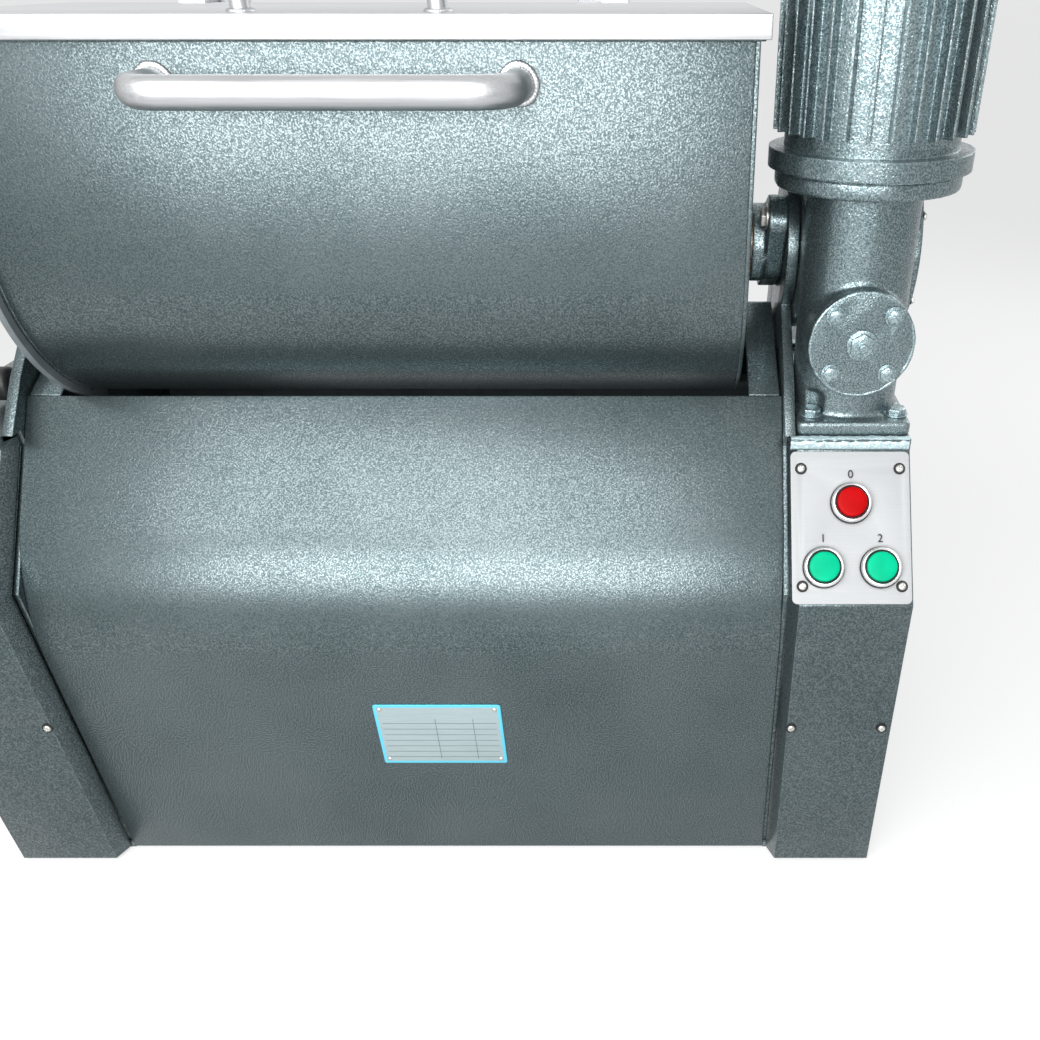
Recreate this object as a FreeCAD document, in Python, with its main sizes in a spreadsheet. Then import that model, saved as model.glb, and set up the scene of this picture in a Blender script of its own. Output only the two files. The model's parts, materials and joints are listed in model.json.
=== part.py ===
"""Trough dough mixer: two pedestals, a tipping trough, a Z blade and a worm drive.

Millimetres. X runs along the trough, Y towards the back, Z up. The origin is on the
floor, at the middle of the four anchor holes, under the axis that the trough tips about.
"""
import FreeCAD, Part
import Sketcher
import math
import os

doc = FreeCAD.newDocument("dough_mixer")
sheet = doc.addObject("Spreadsheet::Sheet", "Sizes")
V = FreeCAD.Vector

SIZES = {
    # Pedestals
    "pedestal_step": (3, "frame plate's inner face to a pedestal's inner side"),
    "pedestal_width": (90, "width of a pedestal"),
    "pedestal_depth": (382, "depth of a pedestal"),
    "axis_height": (488, "height of the tipping and kneading axis"),
    "axis_rise": (112, "pedestal tops up to the axis"),
    "console_drop": (98, "pedestal tops down to the fold of the console"),
    "console_run": (75, "depth that the sloping console covers"),
    "console_rise": (89, "height that the sloping console covers"),
    "floor_gap": (3, "gap under the sheet metal"),
    "skin": (2, "thickness of the sheet metal"),
    "bevel_width": (6.5, "width of the bevel on a pedestal's inner front edge"),
    "bevel_depth": (14, "depth of the same bevel, and set-back of the front casing"),
    "frame_gap": (32.5, "trough end to a frame plate's inner face"),
    "frame_thick": (8, "thickness of a frame plate"),
    "base_thick": (6, "thickness of a base plate"),
    "anchor_radius": (6.5, "radius of an anchor hole"),
    "anchor_spacing": (300, "front to back distance between anchor holes"),
    "rail_size": (30, "side of a square cross rail"),
    "rail_wall": (2.5, "wall of a cross rail"),
    "rail_height": (60, "height of the underside of the lower cross rails"),
    "rail_reach": (120, "distance of the cross rails from the middle plane"),
    "upper_rail_drop": (76, "pedestal tops down to the underside of the upper cross rail"),
    "shell_gap": (1, "gap between the frame and the sheet metal round it"),
    # Axis, frame heads and trunnion bearings
    "head_radius": (48, "radius of a frame plate's head round the axis"),
    "arm_front": (111, "front end of a frame plate's arm, from the axis"),
    "arm_knee": (78, "knee of a frame plate's arm, from the axis"),
    "knee_rise": (32, "pedestal tops up to that knee"),
    "notch_share": (0.57, "where an arm's front edge meets the head, as a share of its radius"),
    "trunnion_radius": (20, "outer radius of a trunnion"),
    "shaft_radius": (14, "radius of the kneading shafts"),
    "running_gap": (0.05, "radial clearance of a running fit"),
    "bush_wall": (4, "wall of a trunnion bush"),
    "housing_boss": (28, "radius of a bearing housing's boss"),
    "housing_flange": (14, "thickness of a bearing housing's flange"),
    "housing_depth": (24, "depth of a bearing housing"),
    "housing_reach": (36, "axis to a bearing housing's bolt"),
    "housing_tip": (12, "radius of a bearing housing's rounded tips"),
    "ear_turn": (48, "turn of a bearing housing's ears from upright, in degrees"),
    # Trough
    "trough_radius": (110, "outer radius of the trough's rounded bottom"),
    "trough_wall": (3, "thickness of the trough's sheet"),
    "trough_half": (255, "middle of the machine to a trough end"),
    "rim_rise": (150, "axis up to the trough's rim"),
    "rim_bar": (3, "thickness of the rim bar"),
    "rim_depth": (12, "height of the rim bar"),
    "hub_radius": (42, "radius of a trunnion's flange"),
    "hub_thick": (6, "thickness of a trunnion's flange"),
    "seal_radius": (24, "outer radius of a shaft seal"),
    "seal_thick": (4, "thickness of a shaft seal"),
    "handle_half": (110, "half the length of the tipping handle"),
    "handle_reach": (48, "distance of the tipping handle from the front wall"),
    "handle_radius": (9, "radius of the tipping handle's tube"),
    "handle_drop": (34, "trough's rim down to the tipping handle"),
    # Lid
    "lid_gap": (0.4, "clearance between the rim and the lid"),
    "lid_skin": (1.5, "thickness of the lid's sheet"),
    "lid_side_gap": (1.3, "clearance between the rim bar and the lid's skirt"),
    "lid_skirt": (13, "height of the lid's skirt"),
    "hinge_back": (124, "distance of the lid's hinge pin behind the axis"),
    "hinge_radius": (6, "radius of a hinge knuckle"),
    "pin_radius": (3, "radius of a hinge pin"),
    "hinge_inset": (105, "trough end to the joint between a lid hinge's knuckles"),
    "hinge_lift": (2, "top of the lid up to a hinge pin"),
    "leaf_reach": (20, "length of a hinge's leaf on the lid"),
    "knuckle_length": (20, "length of a hinge knuckle"),
    "grip_half": (60, "half the length of the lid's grip"),
    "grip_inset": (30, "front wall of the trough to the lid's grip"),
    "grip_height": (32, "height of the lid's grip above the lid"),
    "grip_radius": (6, "radius of the lid's grip"),
    # Casing between the pedestals
    "bend_radius": (170, "outer radius of the front casing's bend"),
    "casing_rise": (19, "pedestal tops up to the front casing's upper edge"),
    "wing_gap": (7, "trough end to a casing wing's inner side"),
    "wing_space": (2, "frame plate to a casing wing's outer side"),
    "wing_run": (104, "depth that a casing wing covers"),
    "wing_rise": (45, "height that a casing wing covers"),
    "rear_drop": (26, "pedestal tops down to the rear casing's fold"),
    "rear_fold": (55, "depth of the rear casing's fold"),
    "plate_width": (104, "width of the data plate"),
    "plate_height": (64, "height of the data plate"),
    "plate_centre_x": (12.5, "place of the data plate along the trough"),
    "plate_centre_z": (140, "height of the data plate's middle"),
    "plate_thick": (1, "thickness of the data plate"),
    "rivet_side": (5, "rivet to the data plate's edge"),
    "rivet_head": (1, "height of a rivet's head"),
    # Kneading blade
    "blade_gap": (11, "trough end to the blade's hub"),
    "blade_radius": (88, "axis to the middle of the blade's wing"),
    "blade_deep": (26, "depth of the blade's wing, towards the axis"),
    "blade_thick": (15, "thickness of the blade's wing"),
    "blade_tip": (0.6, "thickness of the wing's outer edge, as a share of its inner edge"),
    "arm_share": (0.6, "width of a blade's arm, as a share of its hub's length"),
    "blade_hub": (25, "radius of the blade's hubs"),
    "hub_length": (42, "length of the blade's hubs"),
    # Worm drive
    "module": (3.15, "axial module of the worm pair"),
    "worm_quotient": (8, "worm pitch diameter divided by the module"),
    "wheel_teeth": (32, "number of teeth on the worm wheel"),
    "backlash": (0.9, "clearance across a tooth"),
    "wheel_width": (26, "face width of the worm wheel"),
    "web_half": (4, "half the thickness of the worm wheel's web"),
    "wheel_rim": (6, "depth of the worm wheel's rim under its teeth"),
    "tooth_foot": (1.2, "depth of a tooth below the pitch line, in modules"),
    "tooth_slant": (20, "slant of a tooth's sides, in degrees"),
    "shaft_set_back": (4, "drum's outer face to the drive shaft's end"),
    "wheel_hub": (24, "radius of the worm wheel's hub"),
    "worm_turns": (5, "number of turns of the worm's thread"),
    "worm_core": (10, "radius of the motor's shaft"),
    "worm_journal": (9, "radius of the worm's journals"),
    "worm_rise": (8, "joint between gearbox and motor up to the worm's end"),
    "column_radius": (39.5, "radius of the gearbox column"),
    "column_gap": (1, "gap between a frame plate and the gearbox"),
    "column_bore": (19, "radius of the column's bore"),
    "drum_radius": (62, "outer radius of the worm wheel's drum"),
    "drum_bore": (55, "inner radius of the worm wheel's drum"),
    "drum_wall": (12, "thickness of the drum's inner wall"),
    "bearing_radius": (26, "outer radius of a wheel shaft bearing"),
    "bearing_width": (10, "width of a bearing"),
    "seat_wall": (2, "wall behind the inner wheel bearing"),
    "seat_collar": (4, "wall of the collar round the outer wheel bearing"),
    "cap_wall": (4, "thickness of the bearing cap's end and the room inside it"),
    "cap_skirt": (1.5, "wall of the bearing cap"),
    "cap_corner": (5, "radius of the bearing cap's edge"),
    "drum_cover_thick": (6, "thickness of the drum's cover"),
    "drum_cover_web": (3, "thickness of its middle"),
    "drum_screws": (6, "number of the drum cover's screws"),
    "relief_gap": (0.5, "clearance between the drum's cover and the top flange"),
    "foot_thick": (11, "thickness of the gearbox foot"),
    "foot_corner": (4, "radius of the gearbox foot's corners"),
    "foot_bolt_side": (9.1, "foot bolt to the foot's outer side and back"),
    "foot_bolt_inner": (11.1, "foot bolt to the foot's inner side"),
    "foot_bolt_front": (16.4, "foot bolt to the foot's front"),
    "spot_radius": (8.5, "radius of the spot face round a foot bolt"),
    "column_floor": (5, "gearbox foot up to the worm's lower bearing"),
    "web_thick": (12, "thickness of the web behind the column"),
    "web_set_back": (4, "back edge of the foot to the web"),
    "foot_front": (111, "front edge of the gearbox foot, from the axis"),
    "foot_back": (66, "back edge of the gearbox foot, from the axis"),
    "top_flange_radius": (63, "radius of the gearbox's top flange"),
    "flange_thick": (12, "thickness of the gearbox's top flange and of the motor's"),
    "joint_rise": (64, "axis up to the joint between gearbox and motor"),
    "cover_drop": (43, "axis down to the inspection cover's centre"),
    "cover_radius": (37, "radius of the inspection cover"),
    "cover_thick": (5, "thickness of the inspection cover"),
    "cover_front": (113, "front face of the inspection cover, from the axis"),
    "cover_bore": (25, "radius of the hole behind the inspection cover"),
    "cover_pitch": (28.5, "radius on which the cover's bolts stand"),
    "plug_across": (16, "width across flats of the filler plug"),
    # Motor
    "motor_flange_radius": (68, "radius of the motor's flange"),
    "motor_radius": (58, "radius of the motor's barrel"),
    "fin_radius": (66, "radius of the motor's cooling fins"),
    "fin_thick": (2.4, "thickness of a cooling fin"),
    "fin_end": (10, "end of the barrel to a fin's end"),
    "shield_thick": (8, "thickness of the motor's end shield"),
    "shaft_room": (4, "clearance round the motor's shaft"),
    "fin_count": (28, "number of cooling fins"),
    "motor_length": (170, "length of the motor's barrel"),
    "rotor_radius": (40, "radius of the rotor"),
    "rotor_end": (15, "end of the barrel to the rotor's end"),
    "tail_length": (30, "motor shaft above the barrel"),
    "air_gap": (0.5, "gap round the rotor"),
    "cowl_height": (46, "height of the fan cowl"),
    "cowl_wall": (1.5, "thickness of the fan cowl"),
    "cowl_lap": (8, "height over which the cowl covers the barrel"),
    "cowl_edge": (9, "radius of the cowl's upper edge"),
    "slot_count": (20, "number of slots in the cowl"),
    "slot_start": (20, "motor's axis to a slot"),
    "slot_length": (24, "length of a slot"),
    "slot_width": (5, "width of a slot"),
    "fan_radius": (54, "radius of the fan"),
    "fan_width": (16, "height of the fan"),
    "fan_lift": (12, "top of the barrel to the fan"),
    "fan_hub_wall": (6, "wall of the fan's hub"),
    "fan_root": (2, "depth of a fan blade inside the hub's wall"),
    "fan_blades": (7, "number of the fan's blades"),
    "box_width": (84, "width of the terminal box"),
    "box_depth": (40, "depth of the terminal box"),
    "box_height": (72, "height of the terminal box"),
    "box_lift": (40, "motor's flange to the terminal box"),
    "box_lap": (1.5, "overhang of the terminal box's lid"),
    "box_lid": (4, "thickness of the terminal box's lid"),
    # Control panel
    "panel_width": (88, "width of the control panel"),
    "panel_length": (114, "length of the control panel"),
    "panel_thick": (1.5, "thickness of the control panel"),
    "panel_corner": (4, "radius of the control panel's corners"),
    "stop_along": (76, "stop button, up the slope from the fold"),
    "start_along": (28, "start buttons, up the slope from the fold"),
    "start_apart": (42, "distance between the start buttons"),
    "button_hole": (11.2, "radius of a button's hole"),
    "bezel_radius": (14.75, "outer radius of a button's bezel"),
    "bezel_height": (5, "height of a button's bezel"),
    "cap_radius": (11.1, "radius of a button's cap"),
    "cap_height": (4, "height of a button's cap"),
    "cap_travel": (3, "travel of a button"),
    "stem_radius": (9, "radius of a button's stem"),
    "stem_length": (24, "length of a button's stem"),
    "block_side": (26, "width of a contact block"),
    "block_depth": (30, "depth of a contact block"),
    "bezel_floor": (1.5, "thickness of a bezel under the cap"),
    "bezel_edge": (1.2, "chamfer of a bezel"),
    "cap_edge": (1, "radius of a cap's edge"),
    "screw_side": (7.5, "panel screw to the panel's side"),
    "screw_end": (13, "panel screw to the panel's end"),
    # Electrical parts
    "gland_radius": (8, "radius of the cable gland's thread"),
    "gland_across": (22, "width across flats of the cable gland"),
    "gland_height": (70, "height of the cable gland"),
    "gland_body": (10, "length of a gland's body and of its dome"),
    "gland_nut": (4, "height of a gland's lock nut"),
    "cable_radius": (5, "radius of a gland's opening"),
    "din_depth": (7.5, "depth of the mounting rail"),
    "din_half": (60, "half the length of the mounting rail"),
    "din_width": (35, "width of the mounting rail"),
    "switch_height": (167.5, "height of the mounting rail's middle"),
    "contactor_width": (46, "width of a contactor"),
    "contactor_height": (75, "height of a contactor"),
    "contactor_depth": (54.5, "depth of a contactor"),
    "contactor_gap": (10, "gap between the contactors"),
    # Tilt lock
    "sector_inner": (96, "inner radius of the index sector"),
    "sector_outer": (116, "outer radius of the index sector"),
    "sector_thick": (5, "thickness of the index sector"),
    "lock_radius": (5, "radius of the locking rod"),
    "sector_margin": (10, "sector beyond its holes, in degrees"),
    "lock_clear": (1.5, "sector to the drawn rod's tip"),
    "lock_angle": (245, "place of the locking rod round the axis, in degrees"),
    "lock_travel": (6, "travel of the locking rod"),
    "tilt_angle": (70, "angle that the trough tips through, in degrees"),
    "bush_length": (14, "length of the locking rod's bush"),
    "knob_gap": (1, "bush to the knob when the rod is pushed in"),
    "knob_grip": (4, "depth of the rod in the knob, and radius of the knob's edges"),
    "knob_radius": (13, "radius of the locking knob"),
    "knob_length": (20, "length of the locking knob"),
    # Fasteners
    "bolt_radius": (4, "radius of an M8 bolt"),
    "bolt_across": (13, "width across flats of an M8 head"),
    "bolt_head": (5.5, "height of an M8 head"),
    "screw_radius": (2, "radius of an M4 screw"),
    "screw_head": (4, "radius of an M4 screw's head"),
    "screw_head_height": (2.2, "height of an M4 screw's head"),
    "stud_radius": (3, "radius of an M6 bolt"),
    "stud_across": (10, "width across flats of an M6 head"),
    "stud_head": (4, "height of an M6 head"),
    "shell_screw_side": (7.5, "screw on a pedestal's front to its outer side"),
    "shell_screw_inner": (9.5, "screw on a pedestal's front to its inner side"),
    "shell_screw_height": (159, "height of the screws on a pedestal's front"),
    "fit_gap": (0.2, "clearance round a bolt"),
    "seat_gap": (0.3, "gap between sheets that lie on or beside each other"),
}


class Size:
    """A number that keeps the formula which gives it from the cells."""

    def __init__(self, value, text):
        self.value = float(value)
        self.text = text

    def __add__(self, other):
        other = as_size(other)
        return Size(self.value + other.value, f"({self.text} + {other.text})")

    def __sub__(self, other):
        other = as_size(other)
        return Size(self.value - other.value, f"({self.text} - {other.text})")

    def __mul__(self, other):
        other = as_size(other)
        return Size(self.value * other.value, f"({self.text} * {other.text})")

    def __truediv__(self, other):
        other = as_size(other)
        return Size(self.value / other.value, f"({self.text} / {other.text})")

    def __radd__(self, other):
        return as_size(other) + self

    def __rsub__(self, other):
        return as_size(other) - self

    def __rmul__(self, other):
        return as_size(other) * self

    def __neg__(self):
        return Size(-self.value, f"(0 - {self.text})")


def as_size(number):
    """Turn a plain number into a Size."""
    return number if isinstance(number, Size) else Size(number, f"({number})")


def root(number):
    """Square root."""
    return Size(math.sqrt(number.value), f"sqrt({number.text})")


class Cells:
    """The cells of the sheet, each by its own name."""


def fill_sheet():
    """Write each driving size to a cell of its own and give the cell its name."""
    cells = Cells()
    for row, (name, (value, meaning)) in enumerate(SIZES.items(), start=1):
        sheet.set(f"A{row}", meaning)
        sheet.set(f"B{row}", str(value))
        sheet.setAlias(f"B{row}", name)
        setattr(cells, name, Size(value, f"Sizes.{name}"))
    doc.recompute()
    return cells


d = fill_sheet()

LEFT = -1
RIGHT = 1
SIDES = {"left": LEFT, "right": RIGHT}

# Sizes that several pieces share, each worked out from the cells.
frame_inner = d.trough_half + d.frame_gap
frame_outer = frame_inner + d.frame_thick
pedestal_inner = frame_inner + d.pedestal_step
pedestal_outer = pedestal_inner + d.pedestal_width
pedestal_mid = pedestal_inner + d.pedestal_width / 2
pedestal_top = d.axis_height - d.axis_rise
console_foot = pedestal_top - d.console_drop
front = -d.pedestal_depth / 2
rear = d.pedestal_depth / 2
console_length = root(d.console_run * d.console_run + d.console_rise * d.console_rise)
slope_y = d.console_run / console_length
slope_z = d.console_rise / console_length
console_angle = Size(math.degrees(math.atan2(d.console_rise.value, d.console_run.value)),
                     f"atan({d.console_rise.text} / {d.console_run.text})")
console_top = console_foot + d.console_rise
fold_drop = d.skin * (console_length - d.console_rise) / d.console_run
casing_front = front + d.bevel_depth
worm_pitch_radius = d.module * d.worm_quotient / 2
wheel_pitch_radius = d.module * d.wheel_teeth / 2
worm_back = -(worm_pitch_radius + wheel_pitch_radius)
column_inner = frame_outer + d.column_gap
column_mid = column_inner + d.column_radius
drum_outer = column_mid + d.column_radius
foot_top = pedestal_top + d.foot_thick
flange_joint = d.axis_height + d.joint_rise
motor_base = flange_joint + d.flange_thick
motor_top = motor_base + d.motor_length
rim_height = d.axis_height + d.rim_rise
lid_under = rim_height + d.lid_gap
lid_top = lid_under + d.lid_skin
rim_half = d.trough_half + d.rim_bar
rim_deep = d.trough_radius + d.rim_bar
skirt_half = rim_half + d.lid_side_gap
skirt_deep = rim_deep + d.lid_side_gap
bush_radius = d.trunnion_radius + d.running_gap + d.bush_wall
housing_end = frame_inner - d.housing_depth
blade_half = d.trough_half - d.blade_gap
hinge_place = d.trough_half - d.hinge_inset
hinge_height = lid_top + d.hinge_lift
cover_height = d.axis_height - d.cover_drop
worm_low = foot_top + d.column_floor
worm_high = flange_joint + d.worm_rise

# A cutting tool reaches this far past the solid that it cuts.
PAST = 1


def bind(item, path, size):
    """Tie a property to the cells."""
    item.setExpression(path, as_size(size).text)


def move(item, x=0, y=0, z=0):
    """Place an object by its base point."""
    for path, size in (("x", x), ("y", y), ("z", z)):
        bind(item, f"Placement.Base.{path}", size)


TURNS = {
    "z": FreeCAD.Rotation(),
    "x": FreeCAD.Rotation(V(0, 1, 0), 90),
    "y": FreeCAD.Rotation(V(1, 0, 0), -90),
}


def on_console(item, along, across, lift):
    """Place an object on the right pedestal's console, square to its slope."""
    item.Placement = FreeCAD.Placement(V(0, 0, 0), FreeCAD.Rotation(V(1, 0, 0), console_angle.value))
    bind(item, "Placement.Rotation.Angle", console_angle)
    move(item, pedestal_mid + across, front + slope_y * along - slope_z * lift,
         console_foot + slope_z * along + slope_y * lift)


def rod(name, radius, length, axis="z", at=(0, 0, 0)):
    """A cylinder along an axis, from its start point."""
    item = doc.addObject("Part::Cylinder", name)
    item.Placement = FreeCAD.Placement(V(0, 0, 0), TURNS[axis])
    bind(item, "Radius", radius)
    bind(item, "Height", length)
    move(item, *at)
    return item


def block(name, low, high):
    """A box between its lowest and highest corners."""
    item = doc.addObject("Part::Box", name)
    for path, start, end in zip(("Length", "Width", "Height"), low, high):
        bind(item, path, as_size(end) - start)
    move(item, *low)
    return item


def hexagon(name, across, height, axis="z", at=(0, 0, 0)):
    """A hexagonal prism with a width across flats."""
    item = doc.addObject("Part::Prism", name)
    item.Polygon = 6
    item.Placement = FreeCAD.Placement(V(0, 0, 0), TURNS[axis])
    bind(item, "Circumradius", across / math.sqrt(3))
    bind(item, "Height", height)
    move(item, *at)
    return item


def join(name, items):
    """Join solids; those that don't touch stay separate solids."""
    item = doc.addObject("Part::MultiFuse", name)
    item.Shapes = items
    return item


def cut(name, base, tools):
    """Take tools away from a base."""
    item = doc.addObject("Part::Cut", name)
    item.Base = base
    item.Tool = tools[0] if len(tools) == 1 else join(name + "_tools", tools)
    return item


pieces = []


def finish(item, name):
    """Give a finished piece its name."""
    item.Label = name
    pieces.append((name, item))
    return item


def corner_data(corners):
    """Work out where each rounded corner starts and ends, for the first drawing."""
    places = [V(as_size(c[0]).value, as_size(c[1]).value, 0) for c in corners]
    data = []
    for index, corner in enumerate(corners):
        here = places[index]
        if len(corner) > 2 and corner[2] == "round":
            back = (places[index - 1] - here).normalize()
            ahead = (places[(index + 1) % len(places)] - here).normalize()
            half = back.getAngle(ahead) / 2
            radius = as_size(corner[3]).value
            reach = radius / math.tan(half)
            middle = here + (back + ahead).normalize() * (radius / math.sin(half))
            data.append((here, here + back * reach, here + ahead * reach, middle, radius))
        else:
            data.append((here, here, here, None, 0))
    return data


def arc_between(start, end, middle, counter):
    """An arc from start to end about a centre, counter-clockwise or clockwise."""
    radius = (start - middle).Length
    first = math.atan2(start.y - middle.y, start.x - middle.x)
    last = math.atan2(end.y - middle.y, end.x - middle.x)
    circle = Part.Circle(middle, V(0, 0, 1), radius)
    if counter:
        return Part.ArcOfCircle(circle, first, last)
    return Part.ArcOfCircle(circle, last, first)


def draw(sketch, corners, closed=True):
    """Draw an outline whose corners are tied to the cells.

    A corner is (x, y), (x, y, "round", radius), or (x, y, "arc", radius, counter) when
    the side that leaves it is an arc; counter is 1 for a counter-clockwise one, else 0.
    """
    data = corner_data(corners)
    count = len(corners)
    sides = []
    for index in range(count if closed else count - 1):
        following = (index + 1) % count
        start = data[index][2]
        end = data[following][1]
        corner = corners[index]
        if len(corner) > 2 and corner[2] == "arc":
            radius = as_size(corner[3]).value
            chord = end - start
            lift = math.sqrt(max(radius * radius - chord.Length ** 2 / 4, 0))
            normal = V(-chord.y, chord.x, 0).normalize()
            middle = (start + end) * 0.5 + normal * (lift if corner[4] else -lift)
            side = sketch.addGeometry(arc_between(start, end, middle, corner[4]), False)
            sides.append((side, 1, 2) if corner[4] else (side, 2, 1))
            number = sketch.addConstraint(Sketcher.Constraint("Radius", side, radius))
            bind(sketch, f"Constraints[{number}]", corner[3])
        else:
            side = sketch.addGeometry(Part.LineSegment(start, end), False)
            sides.append((side, 1, 2))
    for index, corner in enumerate(corners):
        here, start, end, middle, radius = data[index]
        before = sides[index - 1] if (closed or index > 0) else None
        after = sides[index] if (closed or index < count - 1) else None
        if middle is None:
            if before and after:
                sketch.addConstraint(Sketcher.Constraint("Coincident", before[0], before[2], after[0], after[1]))
            line, point = (after[0], after[1]) if after else (before[0], before[2])
            tie_point(sketch, line, point, corner, here)
        else:
            counter = (start - middle).cross(end - middle).z > 0
            arc = sketch.addGeometry(arc_between(start, end, middle, counter), False)
            first, last = (1, 2) if counter else (2, 1)
            mark = sketch.addGeometry(Part.Point(here), True)
            sketch.addConstraint(Sketcher.Constraint("Tangent", before[0], before[2], arc, first))
            sketch.addConstraint(Sketcher.Constraint("Tangent", arc, last, after[0], after[1]))
            sketch.addConstraint(Sketcher.Constraint("PointOnObject", mark, 1, before[0]))
            sketch.addConstraint(Sketcher.Constraint("PointOnObject", mark, 1, after[0]))
            number = sketch.addConstraint(Sketcher.Constraint("Radius", arc, radius))
            bind(sketch, f"Constraints[{number}]", corner[3])
            tie_point(sketch, mark, 1, corner, here)


def tie_point(sketch, line, point, corner, here):
    """Tie a point of a sketch to the cells, across and up from the origin."""
    for kind, size, place in (("DistanceX", corner[0], here.x), ("DistanceY", corner[1], here.y)):
        size = as_size(size)
        if abs(size.value) < 1e-9:
            axis = -2 if kind == "DistanceX" else -1
            sketch.addConstraint(Sketcher.Constraint("PointOnObject", line, point, axis))
            continue
        if size.value > 0:
            number = sketch.addConstraint(Sketcher.Constraint(kind, -1, 1, line, point, place))
            bind(sketch, f"Constraints[{number}]", size)
        else:
            number = sketch.addConstraint(Sketcher.Constraint(kind, line, point, -1, 1, -place))
            bind(sketch, f"Constraints[{number}]", -size)


def ring(sketch, x, y, radius):
    """Draw a circle whose centre and radius are tied to the cells."""
    place = V(as_size(x).value, as_size(y).value, 0)
    circle = sketch.addGeometry(Part.Circle(place, V(0, 0, 1), as_size(radius).value), False)
    tie_point(sketch, circle, 3, (x, y), place)
    number = sketch.addConstraint(Sketcher.Constraint("Radius", circle, as_size(radius).value))
    bind(sketch, f"Constraints[{number}]", radius)


def rectangle(low_x, low_y, high_x, high_y, radius=None):
    """Corners of a rectangle, rounded when a radius is given."""
    places = [(low_x, low_y), (high_x, low_y), (high_x, high_y), (low_x, high_y)]
    return places if radius is None else [place + ("round", radius) for place in places]


def new_sketch(body, plane, outlines, offset=0, closed=True):
    """A sketch on one of the body's own planes, moved along the plane's normal."""
    sketch = body.newObject("Sketcher::SketchObject", body.Name + "_outline")
    support = next(f for f in body.Origin.OriginFeatures if f.Role == plane)
    sketch.AttachmentSupport = (support, [""])
    sketch.MapMode = "FlatFace"
    bind(sketch, "AttachmentOffset.Base.z", offset)
    for outline in outlines:
        if len(outline) == 3 and not isinstance(outline[0], tuple):
            ring(sketch, *outline)
        else:
            draw(sketch, outline, closed)
    return sketch


def new_body(name):
    """An empty body."""
    return doc.addObject("PartDesign::Body", name)


def pad(body, plane, outlines, start, end):
    """Pad outlines from one offset of a plane to another, along its normal."""
    feature = body.newObject("PartDesign::Pad", body.Name + "_pad")
    feature.Profile = new_sketch(body, plane, outlines, start)
    bind(feature, "Length", as_size(end) - start)
    return feature


def pocket(body, plane, outlines, start, end):
    """Cut outlines out of a body between two offsets of a plane; it has to remove volume."""
    doc.recompute()
    before = body.Shape.Volume
    feature = body.newObject("PartDesign::Pocket", body.Name + "_pocket")
    feature.Profile = new_sketch(body, plane, outlines, start)
    feature.Reversed = True
    bind(feature, "Length", as_size(end) - start)
    doc.recompute()
    if body.Shape.Volume > before - 1e-6:
        raise RuntimeError(f"{body.Name}: a pocket removed nothing")
    return feature


def turned(name, outline, plane="XZ_Plane", axis="H_Axis"):
    """A body turned about an axis of its sketch."""
    body = new_body(name)
    feature = body.newObject("PartDesign::Revolution", name + "_turn")
    sketch = new_sketch(body, plane, [outline])
    feature.Profile = sketch
    feature.ReferenceAxis = (sketch, [axis])
    feature.Angle = 360
    return body


def pair(name, maker):
    """The same piece at both ends of the machine, as two solids of one node."""
    finish(join(name, [maker(f"{name}_{side}", sign) for side, sign in SIDES.items()]), name)


def span(side, low, high):
    """Offsets along X between two distances from the middle, on one side."""
    return (low, high) if side == RIGHT else (-high, -low)


# Pedestals and frame

def pedestal_outline(set_back):
    """Side view of a pedestal whose front stands back by a distance."""
    return [
        (front + set_back, d.floor_gap), (rear, d.floor_gap), (rear, pedestal_top),
        (front + d.console_run + set_back, pedestal_top),
        (front + d.console_run + set_back, console_top),
        (front + set_back, console_foot),
    ]


def pedestal_inside(set_back):
    """The same side view, a sheet's thickness further in and open below."""
    start = front + set_back + d.skin
    lip = start + d.console_run
    lip_foot = console_foot + ((d.console_run + d.skin) * d.console_rise
                                 - d.skin * console_length) / d.console_run
    return [
        (start, d.floor_gap - PAST), (rear - d.skin, d.floor_gap - PAST),
        (rear - d.skin, pedestal_top - d.skin), (lip, pedestal_top - d.skin), (lip, lip_foot),
        (start, console_foot - fold_drop),
    ]


def bevel_loft(body, kind, outline, side):
    """Loft across the bevel, added or taken away."""
    fold = pedestal_inner + d.bevel_width
    loft = body.newObject(kind, body.Name + "_bevel")
    loft.Profile = new_sketch(body, "YZ_Plane", [outline(d.bevel_depth)], side * pedestal_inner)
    loft.Sections = [new_sketch(body, "YZ_Plane", [outline(0)], side * fold)]
    loft.Ruled = True


def pedestal_shell(name, side):
    """Folded sheet: front, console, top, back and outer side; open inside and below."""
    body = new_body(name + "_fold")
    fold = pedestal_inner + d.bevel_width
    bevel_loft(body, "PartDesign::AdditiveLoft", pedestal_outline, side)
    pad(body, "YZ_Plane", [pedestal_outline(0)], *span(side, fold, pedestal_outer))
    bevel_loft(body, "PartDesign::SubtractiveLoft", pedestal_inside, side)
    pocket(body, "YZ_Plane", [pedestal_inside(0)], *span(side, fold, pedestal_outer - d.skin))
    return body


def arm_slot(name, side):
    """Slot in a pedestal's top that the frame plate's arm passes through."""
    low, high = span(side, pedestal_inner - PAST, frame_outer + d.seat_gap)
    reach = d.arm_front + d.seat_gap
    return block(name, (low, -reach, pedestal_top - d.skin * 2), (high, reach, pedestal_top + PAST))


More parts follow.
